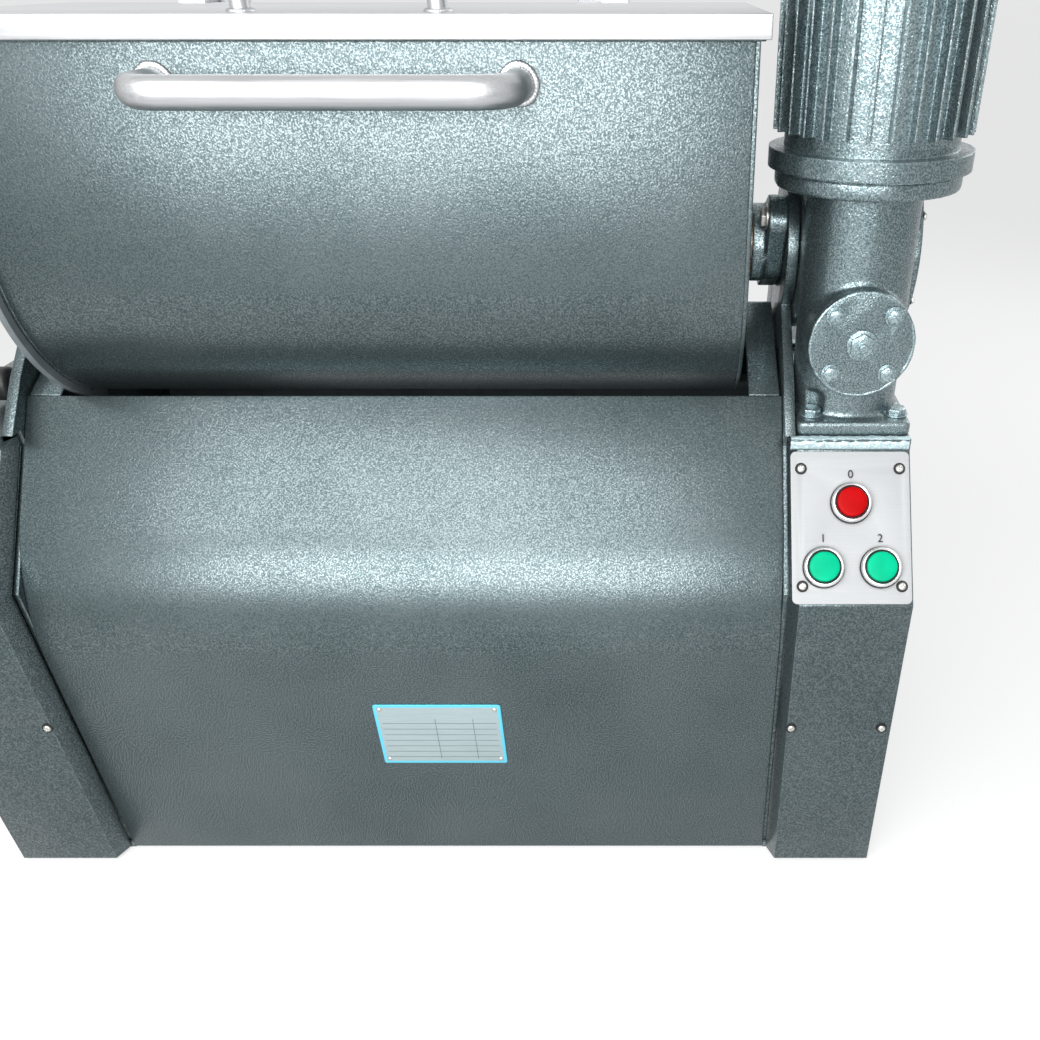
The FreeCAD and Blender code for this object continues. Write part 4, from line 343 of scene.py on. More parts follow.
PLATE_BORDER = 2.6 * MM
PLATE_MARGIN = 5.0 * MM
PLATE_HEADING = 17 * MM
PLATE_ROW = 6.2 * MM
PLATE_LINE = 0.22 * MM
PLATE_COLUMNS = (-3 * MM, 28 * MM)


def plate_group():
    """Border, ruled rows and columns of a blank data plate."""
    w, given, result = start_group("Ruled plate", [
        ("Centre", VECTOR, (0, 0, 0)), ("Width", FLOAT, 0.1), ("Height", FLOAT, 0.06)],
        [("Border", FLOAT), ("Lines", FLOAT)])
    local = w.node("ShaderNodeVectorMath", {"operation": "SUBTRACT"})
    w.feed(local, 0, object_place(w))
    w.feed(local, 1, given["Centre"])
    parts = w.node("ShaderNodeSeparateXYZ", Vector=local.outputs["Vector"])
    across, up = parts.outputs["X"], parts.outputs["Z"]
    side, end = (
        w.maths("SUBTRACT", w.maths("MULTIPLY", given[size], 0.5), w.maths("ABSOLUTE", place))
        for size, place in (("Width", across), ("Height", up)))
    inside = w.maths("MINIMUM", side, end)
    # Twenty rows are added, so that the height stays above zero.
    row = w.maths("PINGPONG", w.maths("ADD", up, PLATE_ROW * 20), PLATE_ROW / 2)
    lines = w.maths("LESS_THAN", row, PLATE_LINE)
    for place in PLATE_COLUMNS:
        away = w.maths("ABSOLUTE", w.maths("SUBTRACT", across, place))
        lines = w.maths("MAXIMUM", lines, w.maths("LESS_THAN", away, PLATE_LINE))
    field = w.maths("MULTIPLY", w.maths("GREATER_THAN", inside, PLATE_MARGIN),
                    w.maths("LESS_THAN", up, PLATE_HEADING))
    w.feed(result, "Border", w.maths("LESS_THAN", inside, PLATE_BORDER))
    w.feed(result, "Lines", w.maths("MULTIPLY", lines, field))
    return w.tree


def tinted(rgb, factor=1.0):
    """An opaque colour, made lighter or darker by a factor."""
    return (*(min(channel * factor, 1.0) for channel in rgb), 1.0)


def group_node(w, tree, **inputs):
    """Place a node group in a material."""
    return w.node("ShaderNodeGroup", {"node_tree": tree}, **inputs)


FINISHES = {}


def new_material(name, view_colour):
    """Wiring and Principled shader of a new material, which joins the finishes."""
    material = bpy.data.materials.new("mixer_" + name)
    material.use_nodes = True
    material.diffuse_color = tinted(view_colour)
    FINISHES[name] = material
    return Wiring(material.node_tree), material.node_tree.nodes["Principled BSDF"]


PAINT_EDGE = 1.2 * MM
FINE_EDGE = 0.6 * MM


def enamel_material(name, groups, f, lumps=0.0, fleck=1.0, edge=PAINT_EDGE, lift=1.0, metal=None):
    """Hammered enamel; with lumps it is the same enamel on a casting. A lift above 1 gives a lighter copy: painted
    light.
    """
    w, shader = new_material(name, f.enamel)
    skin = group_node(w, groups["hammered"], Dimple=f.dimple, Light=tinted(f.enamel, lift),
                      Deep=tinted(f.enamel_deep, lift), Fleck=fleck, Roughness=f.enamel_rough)
    edges = group_node(w, groups["edge"], Radius=edge, Amount=0.55)
    # Painted highlight: along the edges the enamel is mixed toward a copy 2.6 times lighter.
    paint = w.mix(edges.outputs["Mask"], skin.outputs["Color"], tinted(f.enamel, 2.6))
    normal = w.bump(0.8, f.dimple_depth, skin.outputs["Height"], edges.outputs["Normal"])
    if lumps:
        cast = group_node(w, groups["lumps"], Lump=f.cast_lump)
        normal = w.bump(lumps, f.cast_depth, cast.outputs["Height"], normal)
    w.join(shader, Base_Color=paint, Metallic=f.enamel_metal if metal is None else metal,
           Roughness=skin.outputs["Roughness"], Coat_Weight=0.12, Coat_Roughness=0.22, Normal=normal)


def metal_material(name, groups, rgb, rough, stretch, scale=900.0, streak=0.12, metal=1.0):
    """Bare metal with a grain along one direction, fingermarks and a painted highlight on its edges."""
    w, shader = new_material(name, rgb)
    grain = group_node(w, groups["brushed"], Stretch=stretch, Scale=scale)
    edges = group_node(w, groups["edge"], Radius=FINE_EDGE, Amount=0.8)
    shade = w.ramp(grain.outputs["Value"], 0.3, 0.7)
    tone = w.mix(shade, tinted(rgb, 1 - streak), tinted(rgb, 1 + streak))
    # Painted highlight: along the edges the metal is mixed toward a copy 1.35 times lighter.
    tone = w.mix(edges.outputs["Mask"], tone, tinted(rgb, 1.35))
    spread = w.maths("MULTIPLY_ADD", grain.outputs["Smudge"], 0.09,
                     w.ramp(grain.outputs["Value"], 0.3, 0.7, rough - 0.05, rough + 0.07))
    w.join(shader, Base_Color=tone, Metallic=metal, Roughness=spread,
           Normal=w.bump(0.25, 0.02 * MM, grain.outputs["Value"], edges.outputs["Normal"]))


def moulded_material(name, groups, rgb, rough, coat=0.0, grain=0.15, shine=0.35):
    """Moulded plastic or rubber with a fine grain."""
    w, shader = new_material(name, rgb)
    place = object_place(w)
    fine = w.noise(place, 1400.0, 3.0, 0.6)
    cloud = w.noise(place, 60.0)
    edges = group_node(w, groups["edge"], Radius=FINE_EDGE, Amount=0.5)
    tone = w.mix(w.ramp(cloud, 0.35, 0.65), tinted(rgb, 0.9), tinted(rgb, 1.08))
    # Painted highlight: along the edges the colour is mixed toward a copy 1.3 times lighter.
    tone = w.mix(edges.outputs["Mask"], tone, tinted(rgb, 1.3))
    w.join(shader, Base_Color=tone, Roughness=w.ramp(cloud, 0.3, 0.7, rough - 0.04, rough + 0.06),
           Coat_Weight=coat, Coat_Roughness=0.06, Specular_IOR_Level=shine,
           Normal=w.bump(grain, 0.03 * MM, fine, edges.outputs["Normal"]))


def plate_material(groups, f):
    """Blank data plate: blue border, pale field and thin ruled lines."""
    w, shader = new_material("plate_print", f.plate_ground)
    size = high("data_plate") - low("data_plate")
    layout = group_node(w, groups["plate"], Centre=tuple(middle("data_plate")), Width=size.x, Height=size.z)
    grain = group_node(w, groups["brushed"], Stretch=(0.05, 1, 1), Scale=1200.0)
    field = w.mix(w.ramp(grain.outputs["Value"], 0.3, 0.7), tinted(f.plate_ground, 0.92),
                  tinted(f.plate_ground, 1.08))
    tone = w.mix(layout.outputs["Lines"], field, tinted(f.plate_ground, 0.22))
    tone = w.mix(layout.outputs["Border"], tone, tinted(f.plate_blue))
    w.join(shader, Base_Color=tone, Metallic=0.25,
           Roughness=w.ramp(grain.outputs["Smudge"], 0, 1, 0.32, 0.42))


def make_materials(f):
    """Make every finish of the mixer."""
    groups = {"hammered": hammered_group(), "lumps": lumps_group(), "edge": edge_group(),
              "brushed": brushed_group(), "plate": plate_group()}
    # A lift above 1 makes a lighter copy of the same enamel: painted light on the thick paint, the castings, and
    # the bolts and paint ridges.
    for name, options in (
            ("hammer_paint", {}),
            ("thick_paint", {"lumps": 0.5, "fleck": 0.6, "lift": 4.6, "metal": 0.25}),
            ("cast_paint", {"lumps": 0.9, "fleck": 1.2, "lift": 1.8, "edge": 1.6 * MM}),
            ("bolt_paint", {"lumps": 0.5, "lift": 2.9, "edge": 0.8 * MM})):
        enamel_material(name, groups, f, **options)
    long_grain, turned_grain, even_grain = (0.02, 1, 1), (1, 0.03, 0.03), (1, 1, 1)
    for name, *options in (
            ("stainless", f.steel, 0.34, long_grain),
            ("ground_steel", f.bright_steel, 0.24, turned_grain, 1500.0),
            ("bronze", f.bronze, 0.30, turned_grain, 1200.0),
            ("zinc", f.zinc, 0.28, even_grain, 500.0, 0.10),
            ("chrome", f.chrome, 0.10, even_grain, 300.0, 0.04),
            ("panel_aluminium", f.aluminium, 0.52, long_grain, 1600.0, 0.05, 0.10)):
        metal_material(name, groups, *options)
    for name, rgb, rough, options in (
            ("frame_steel", f.frame_grey, 0.42, {"grain": 0.4, "coat": 0.1}),
            ("cap_red", f.stop_red, 0.42, {"grain": 0.08, "shine": 0.08}),
            ("cap_green", f.start_green, 0.42, {"grain": 0.08, "shine": 0.08}),
            ("black_plastic", f.black, 0.42, {"grain": 0.35}),
            ("rubber", f.rubber, 0.62, {"grain": 0.4}),
            ("ink", f.ink, 0.5, {"grain": 0.05})):
        moulded_material(name, groups, rgb, rough, **options)
    plate_material(groups, f)


CAST_NODES = ("gearbox_housing", "inspection_cover", "drum_cover", "motor_housing", "bearing_housings",
              "bearing_cap", "casing_wings")


def finish_for(name):
    """A finish, made with all the others when the first is asked for."""
    if name not in FINISHES:
        make_materials(bpy.context.scene.mixer_finish)
    return FINISHES[name]


def node_finish(node):
    """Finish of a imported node, by name."""
    return "cast_paint" if node in CAST_NODES else SLOTS[node]


# Mesh helpers

def add_object(name, data):
    """A new object in the scene."""
    made = bpy.data.objects.new(name, data)
    bpy.context.scene.collection.objects.link(made)
    return made


def settle(bm, name, body, finish, stands_for=(), smooth=35.0):
    """Make a piece of a bmesh, give it its finish and let it ride on a body."""
    for face in bm.faces:
        face.smooth = True
    for edge in bm.edges:
        if len(edge.link_faces) == 2:
            edge.smooth = edge.calc_face_angle(0.0) < math.radians(smooth)
    mesh = bpy.data.meshes.new(name)
    bm.to_mesh(mesh)
    bm.free()
    piece = add_object(name, mesh)
    mesh.materials.append(finish_for(finish))
    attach(piece, body)
    if stands_for:
        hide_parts(*stands_for)
    return piece


def merged_copy(node):
    """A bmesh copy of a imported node, with its corners joined."""
    bm = bmesh.new()
    bm.from_mesh(frame["nodes"][node].data)
    bmesh.ops.remove_doubles(bm, verts=bm.verts, dist=2e-6)
    bmesh.ops.dissolve_degenerate(bm, edges=bm.edges, dist=1e-7)
    return bm


def apply_modifiers(piece):
    """Turn a piece's modifiers into its mesh."""
    graph = bpy.context.evaluated_depsgraph_get()
    mesh = bpy.data.meshes.new_from_object(piece.evaluated_get(graph), depsgraph=graph)
    piece.modifiers.clear()
    old = piece.data
    piece.data = mesh
    bpy.data.meshes.remove(old)


def aim(place, direction, across=OUTWARD):
    """Matrix that turns +Z to a direction and +X near another, and moves to a place."""
    up = direction.normalized()
    side = across - up * across.dot(up)
    side = up.orthogonal() if side.length < 1e-6 else side
    side.normalize()
    turn = Matrix((side, up.cross(side), up)).transposed().to_4x4()
    return Matrix.Translation(place) @ turn


def spun(profile, steps=32):
    """Solid of revolution about Z from (radius, height) points, in millimetres."""
    bm = bmesh.new()
    verts = [bm.verts.new((radius * MM, 0, height * MM)) for radius, height in profile]
    edges = [bm.edges.new(ends) for ends in zip(verts, verts[1:])]
    if profile[0][0] and profile[-1][0]:
        edges.append(bm.edges.new((verts[-1], verts[0])))
    bmesh.ops.spin(bm, geom=verts + edges, cent=(0, 0, 0), axis=(0, 0, 1), dvec=(0, 0, 0),
                   angle=math.tau, steps=steps, use_merge=True)
    bmesh.ops.remove_doubles(bm, verts=bm.verts, dist=1e-7)
    bmesh.ops.dissolve_degenerate(bm, edges=bm.edges, dist=1e-8)
    bmesh.ops.recalc_face_normals(bm, faces=bm.faces)
    return bm


def soften(bm, width, angle=25.0, segments=2):
    """Round every edge that is sharper than an angle."""
    sharp = [e for e in bm.edges if len(e.link_faces) == 2 and e.calc_face_angle(0.0) > math.radians(angle)]
    if sharp:
        bmesh.ops.bevel(bm, geom=sharp, offset=width, offset_type="OFFSET", segments=segments, profile=0.5,
                        affect="EDGES", material=-1, clamp_overlap=True)
    return bm


def prism(across, low_end, high_end, sides=6):
    """Prism with a width across its flats, between two heights, in millimetres."""
    bm = bmesh.new()
    radius = across * MM / 2 / math.cos(math.pi / sides)
    bmesh.ops.create_cone(bm, cap_ends=True, cap_tris=False, segments=sides, radius1=radius, radius2=radius,
                          depth=(high_end - low_end) * MM,
                          matrix=Matrix.Translation((0, 0, (low_end + high_end) / 2 * MM)))
    return bm


def cuboid(size, centre):
    """Block with a size and a centre, in millimetres."""
    bm = bmesh.new()
    matrix = Matrix.Translation(Vector(centre) * MM) @ Matrix.Diagonal((*(v * MM for v in size), 1))
    bmesh.ops.create_cube(bm, size=1.0, matrix=matrix)
    return bm


def stamp(target, part, matrices):
    """Copy a part into a target at each matrix, and free the part."""
    mesh = bpy.data.meshes.new("stamp")
    part.to_mesh(mesh)
    part.free()
    for matrix in matrices:
        before = len(target.verts)
        target.from_mesh(mesh)
        target.verts.ensure_lookup_table()
        bmesh.ops.transform(target, matrix=matrix, verts=target.verts[before:])
    bpy.data.meshes.remove(mesh)


def hex_head(across, washer, top, shank, depth, shank_top=None):
    """Washer, hexagonal head with a turned top, and shank, in millimetres; the seat is at height 0."""
    rim, rim_edge = across * 0.68, across * 0.66
    crown, crown_edge = across * 0.47, across * 0.40
    end = top - 0.5 if shank_top is None else shank_top
    parts = (
        spun([(shank, 0), (rim_edge, 0), (rim, 0.2), (rim, washer - 0.2), (rim_edge, washer),
              (shank, washer)], 28),
        soften(prism(across, washer, top - 0.3), 0.25 * MM),
        spun([(0, top), (crown_edge, top), (crown, top - 0.35), (crown, washer), (0, washer)], 28),
        spun([(0, -depth), (shank, -depth), (shank, end - 0.4), (shank - 0.4, end), (0, end)], 20),
    )
    bm = bmesh.new()
    for part in parts:
        stamp(bm, part, [Matrix()])
    return bm


def carved(bm, tools):
    """Cut tools out of a part."""
    objects = []
    for item in (bm, *tools):
        mesh = bpy.data.meshes.new("carving")
        item.to_mesh(mesh)
        item.free()
        objects.append(add_object("carving", mesh))
    for tool in objects[1:]:
        step = objects[0].modifiers.new("Carve", "BOOLEAN")
        step.operation = "DIFFERENCE"
        step.solver = "EXACT"
        step.object = tool
    apply_modifiers(objects[0])
    result = bmesh.new()
    result.from_mesh(objects[0].data)
    for piece in objects:
        mesh = piece.data
        bpy.data.objects.remove(piece)
        bpy.data.meshes.remove(mesh)
    return result


def pan_head(radius, height, shank, depth):
    """Domed screw head with a cross recess, and its shank, in millimetres; the seat is at height 0."""
    profile = [(0, height), (radius * 0.45, height * 0.97), (radius * 0.78, height * 0.80),
               (radius * 0.96, height * 0.48), (radius, height * 0.18), (radius, 0), (shank, 0),
               (shank, -depth), (0, -depth)]
    arm = radius * 0.62
    slot = radius * 0.19
    tools = [cuboid((*sides, height), (0, 0, height))
             for sides in ((arm * 2, slot * 2), (slot * 2, arm * 2))]
    return carved(spun(profile, 32), tools)


def dome(radius, height):
    """Domed rivet head, in millimetres."""
    return spun([(0, height), (radius * 0.5, height * 0.88), (radius * 0.85, height * 0.5), (radius, 0),
                 (0, 0)], 24)


def wrapped(columns, rows, place):
    """A grid laid where a function of two shares from 0 to 1 says; edges that meet are joined."""
    bm = bmesh.new()
    bmesh.ops.create_grid(bm, x_segments=columns, y_segments=rows, size=0.5)
    for vert in bm.verts:
        vert.co = place(vert.co.x + 0.5, vert.co.y + 0.5)
    bmesh.ops.remove_doubles(bm, verts=bm.verts, dist=1e-6)
    open_edges = [edge for edge in bm.edges if edge.is_boundary]
    if open_edges:
        bmesh.ops.holes_fill(bm, edges=open_edges, sides=0)
    bmesh.ops.recalc_face_normals(bm, faces=bm.faces)
    return bm


BEAD_LUMP = 6 * MM


def ring_bead(centre, radius, axis, width, height, lump, seed, ripple=0.0, on_rim=False, count=96):
    """Half-round bead in a ring: on the face that the axis leaves, or on a rim round the axis.
    Its width and height are in metres; lump and ripple are shares of them."""
    first = axis.orthogonal().normalized()
    second = axis.cross(first)
    waves = round(count / 3)

    def place(along, around):
        turn = math.tau * along
        side = first * math.cos(turn) + second * math.sin(turn)
        spot = centre + side * radius
        across, out = (axis, side) if on_rim else (side, axis)
        angle = math.tau * around
        broad = noise.noise(spot / BEAD_LUMP + Vector((seed, 0, 0)))
        swell = 1 + ripple * math.sin(turn * waves) + lump * broad
        fine = noise.noise(spot / (BEAD_LUMP / 2) + Vector((seed, math.cos(angle) * 2, 0)))
        local = 1 + 0.6 * lump * fine
        rise = math.sin(angle) if around < 0.5 else 0.2 * math.sin(angle)
        return spot + across * math.cos(angle) * width * swell + out * rise * height * swell * local

    return wrapped(count, 12, place)


# Operators

# Sheets and plates: the node, its body and the radius of its edges in millimetres
SHEETS = (
    ("pedestal_shell_right", "base", 1.4), ("pedestal_shell_left", "base", 1.4),
    ("control_panel", "base", 0.4), ("front_casing", "base", 0.5), ("rear_casing", "base", 0.5),
    ("casing_wings", "base", 0.6), ("trough_shell", "trough", 0.5), ("trough_rim", "trough", 0.7),
    ("trough_ends", "trough", 0.6), ("lid", "lid", 0.6),
    ("frame_plate_right", "base", 1.2), ("frame_plate_left", "base", 1.2),
    ("terminal_box", "base", 3.0), ("terminal_lid", "base", 1.0), ("index_sector", "trough", 0.5),
    ("data_plate", "base", 0.3), ("base_plates", "base", 0.8), ("inspection_cover", "base", 0.9),
    ("drum_cover", "base", 0.8), ("trunnions", "trough", 0.6), ("lock_bush", "base", 0.5),
    ("contactors", "base", 1.2), ("contact_blocks", "base", 1.0),
)


class MIXER_OT_sheet_metal(bpy.types.Operator):
    """Round the folds and edges of the sheet metal and the plates"""

    bl_idname = "mixer.sheet_metal"
    bl_label = "Sheet metal"

    def execute(self, context):
        for node, body, radius in SHEETS:
            bm = merged_copy(node)
            bmesh.ops.dissolve_limit(bm, angle_limit=math.radians(0.6), verts=bm.verts, edges=bm.edges)
            soften(bm, radius * MM, 12.0, 3)
            settle(bm, node + "_soft", body, node_finish(node), (node,), 40.0)
        return {"FINISHED"}


# Castings: the node, the width of a voxel and the rounds of smoothing
CASTINGS = (("gearbox_housing", 1.35 * MM, 9), ("bearing_housings", 0.9 * MM, 5))


class MIXER_OT_castings(bpy.types.Operator):
    """Give the gearbox and the bearing housings the rounded corners of a casting"""

    bl_idname = "mixer.castings"
    bl_label = "Castings"

    def execute(self, context):
        for node, voxel, rounds in CASTINGS:
            piece = settle(merged_copy(node), node + "_cast", "base", "cast_paint", (node,))
            remesh = piece.modifiers.new("Skin", "REMESH")
            remesh.mode = "VOXEL"
            remesh.voxel_size = voxel
            remesh.use_smooth_shade = True
            relax = piece.modifiers.new("Fillets", "CORRECTIVE_SMOOTH")
            relax.factor = 0.5
            relax.iterations = rounds
            relax.use_only_smooth = True
            apply_modifiers(piece)
        return {"FINISHED"}


def turned(number, first, step):
    """Turn of a head about its axis, in degrees, so that no two in a row stand alike."""
    return Matrix.Rotation(math.radians(first + step * number), 4, "Z")


# Heights in millimetres: the filler plug over its seat, and the head of a housing bolt
PLUG_HEIGHT = 8
HOUSING_HEAD = 5.5

# Screw of the drum's cover: width across flats, washer, top, shank and depth in millimetres
DRUM_SCREW = (5.0, 0.5, 2.2, 1.5, 1)

# Pan screw: radius, height, shank and depth in millimetres, and the profile of the black rubber ring under it,
# which stands in for the dark edge of the domed head: painted shade and reflection
PAN_SCREW = (3.1, 2.2, 2, 2)
SCREW_SHADOW_RING = ((2, 0), (4.3, 0), (4.3, 0.7), (4.0, 1.0), (3.0, 1.0), (2, 0.6))


class MIXER_OT_fasteners(bpy.types.Operator):
    """Shape the bolts, nuts, screws and rivets"""

    bl_idname = "mixer.fasteners"
    bl_label = "Fasteners"

    def execute(self, context):
        self.hex_bolts("cover_bolts", FORWARD, across=10, washer=0.8, top=4, shank=3, depth=5)
        self.hex_bolts("foot_bolts", UP, across=13, washer=1.2, top=5.5, shank=4, depth=13)
        self.filler_plug()
        self.housing_bolts()
        self.screws()
        self.small_heads()
        return {"FINISHED"}

    def hex_bolts(self, node, axis, top, **sizes):
        """Bolts whose heads face along an axis, with the sizes of a hex head."""
        places = []
        for number, corners in enumerate(islands(node)):
            at, _, high_end = line_through(corners, axis)
            places.append(aim(at(high_end - top * MM), axis) @ turned(number, 17, 23))
        bm = bmesh.new()
        stamp(bm, hex_head(top=top, **sizes), places)
        settle(bm, node + "_turned", "base", "bolt_paint", (node,))

    def filler_plug(self):
        """Plug with a stud through its head."""
        at, _, high_end = line_through(islands("filler_plug")[0], FORWARD)
        bm = bmesh.new()
        plug = hex_head(across=16, washer=1.0, top=4, shank=3, depth=5, shank_top=PLUG_HEIGHT)
        stamp(bm, plug, [aim(at(high_end - PLUG_HEIGHT * MM), FORWARD)])
        settle(bm, "filler_plug_turned", "base", "bolt_paint", ("filler_plug",))

    def housing_bolts(self):
        """Bolts with their heads inward; those on the left have nuts outside."""
        bm = bmesh.new()
        sizes = {"across": 13, "washer": 1.4, "top": HOUSING_HEAD, "shank": 4}
        head = HOUSING_HEAD * MM
        for number, corners in enumerate(islands("housing_bolts")):
            at, low_end, high_end = line_through(corners, OUTWARD)
            left = high_end < 0
            spin = turned(number, 11, 31)
            seat = high_end - head if left else low_end + head
            inward = OUTWARD if left else -OUTWARD
            depth = (high_end - low_end) / MM - HOUSING_HEAD - 1
            stamp(bm, hex_head(depth=depth, **sizes), [aim(at(seat), inward, UP) @ spin])
            if left:
                nut = aim(at(low_end + head), -OUTWARD, UP) @ spin
                stamp(bm, hex_head(depth=1, **sizes), [nut])
        settle(bm, "housing_bolts_turned", "base", "zinc", ("housing_bolts",))

    def screws(self):
        """Cross-recessed screws on black rubber rings, which paint the shade and reflection at the edge of each
        head, and those of the terminal lid.
        """
        height = PAN_SCREW[1] * MM
        places = []
        fold = low("control_panel").z
        for number, corners in enumerate(islands("pan_screws")):
            on_panel = min(corner.z for corner in corners) > fold - 5 * MM
            axis = SLOPE_OUT if on_panel else FORWARD
            at, _, high_end = line_through(corners, axis)
            places.append(aim(at(high_end - height), axis) @ turned(number, 19, 37))
        bm = bmesh.new()
        # Painted shade and reflection: black rings round the screw heads.
        stamp(bm, spun(SCREW_SHADOW_RING), places)
        settle(bm, "screw_washers", "base", "rubber")
        lid_middle = middle("terminal_lid")
        lid_half = (high("terminal_lid") - low("terminal_lid")) / 2
        margin, sunk = 7 * MM, 1.4 * MM
        lid_places = []
        for across in (-1, 1):
            for up in (-1, 1):
                spot = Vector((lid_middle.x + across * (lid_half.x - margin), high("terminal_lid").y,
                               lid_middle.z + up * (lid_half.z - margin)))
                spin = Matrix.Rotation(across + up, 4, "Z")
                lid_places.append(aim(spot - BACKWARD * sunk, BACKWARD) @ spin)
        for name, spots, replaced in (("pan_screws_turned", places, ("pan_screws",)),
                                      ("terminal_lid_screws", lid_places, ())):
            bm = bmesh.new()
            stamp(bm, pan_head(*PAN_SCREW), spots)
            settle(bm, name, "base", "zinc", replaced)

    def small_heads(self):
        """Small bolts of the drum's cover and rivets of the data plate."""
        for node, axis, part, ending in (
                ("drum_screws", OUTWARD, hex_head(*DRUM_SCREW), "_turned"),
                ("plate_rivets", FORWARD, dome(2.0, 1.0), "_domed")):
            places = []
            for corners in islands(node):
                at, low_end, _ = line_through(corners, axis)
                places.append(aim(at(low_end), axis))
            bm = bmesh.new()
            stamp(bm, part, places)
            settle(bm, node + ending, "base", "zinc", (node,))


# Buttons: the node, its body, its finish and the number over it
BUTTONS = (
    ("stop_button", "stop_cap", "cap_red", "0"),
    ("start_button_left", "start_cap_left", "cap_green", "1"),
    ("start_button_right", "start_cap_right", "cap_green", "2"),
)

# Profiles of a button as (radius, height) in millimetres: the cap under its top, the others over the panel
CAP = ((0, 0), (4.0, -0.06), (8.0, -0.24), (9.6, -0.42), (10.6, -0.85), (11.05, -1.6), (11.1, -3.4),
       (9.0, -3.4), (9.0, -28.0), (0, -28.0))
RING = ((12.3, 0.0), (14.55, 0.0), (14.75, 0.25), (14.75, 3.4), (14.3, 4.4), (13.6, 4.9), (13.0, 5.0),
        (12.5, 4.7), (12.3, 4.0))
SLEEVE = ((9.2, -25.0), (11.0, -25.0), (11.0, 0.0), (12.3, 0.0), (12.3, 4.3), (12.1, 4.6), (11.6, 4.6),
          (11.4, 4.3), (11.4, 0.4), (9.2, 0.4))
# Black rubber ring round the foot of each bezel: painted shade, standing in for the bezel's shadow on the panel.
BEZEL_SHADOW_RING = ((14.2, -0.2), (15.5, -0.2), (15.5, 0.6), (15.2, 0.9), (14.2, 0.9))

CAP_HEIGHT = 7.2 * MM
MARK_RISE = 21.5 * MM
MARK_SIZE = 8.5 * MM
INK_DEPTH = 0.05 * MM


class MIXER_OT_buttons(bpy.types.Operator):
    """Shape the push-buttons and mark them with plain numbers"""

    bl_idname = "mixer.buttons"
    bl_label = "Buttons"

    def execute(self, context):
        rings, sleeves, shadow_rings, marks = (bmesh.new() for _ in range(4))
        for node, body, finish, mark in BUTTONS:
            at, _, high_end = line_through(islands(node)[0], SLOPE_OUT)
            top = at(high_end)
            panel_face = top - SLOPE_OUT * CAP_HEIGHT
            bm = bmesh.new()
            stamp(bm, spun(CAP, 48), [aim(top, SLOPE_OUT)])
            settle(bm, node + "_domed", body, finish, (node,))
            for target, profile, steps in ((rings, RING, 64), (sleeves, SLEEVE, 48), (shadow_rings, BEZEL_SHADOW_RING, 64)):
                stamp(target, spun(profile, steps), [aim(panel_face, SLOPE_OUT)])
            self.mark(marks, mark, panel_face + SLOPE_UP * MARK_RISE)
        settle(rings, "bezel_rings", "base", "chrome", ("button_bezels",))
        settle(sleeves, "bezel_sleeves", "base", "black_plastic")
        # Black rings round the bezels: painted shade for their shadow on the panel.
        settle(shadow_rings, "bezel_seals", "base", "rubber")
        settle(marks, "button_numbers", "base", "ink")
        return {"FINISHED"}

    def mark(self, target, text, place):
        """Print a number on the panel."""
        curve = bpy.data.curves.new("mark", "FONT")
        curve.body = text
        curve.size = MARK_SIZE
        curve.align_x = curve.align_y = "CENTER"
        curve.extrude = INK_DEPTH
        piece = add_object("mark", curve)
        graph = bpy.context.evaluated_depsgraph_get()
        mesh = bpy.data.meshes.new_from_object(piece.evaluated_get(graph), depsgraph=graph)
        part = bmesh.new()
        part.from_mesh(mesh)
        stamp(target, part, [aim(place + SLOPE_OUT * INK_DEPTH, SLOPE_OUT)])
        bpy.data.objects.remove(piece)
        bpy.data.curves.remove(curve)
        bpy.data.meshes.remove(mesh)


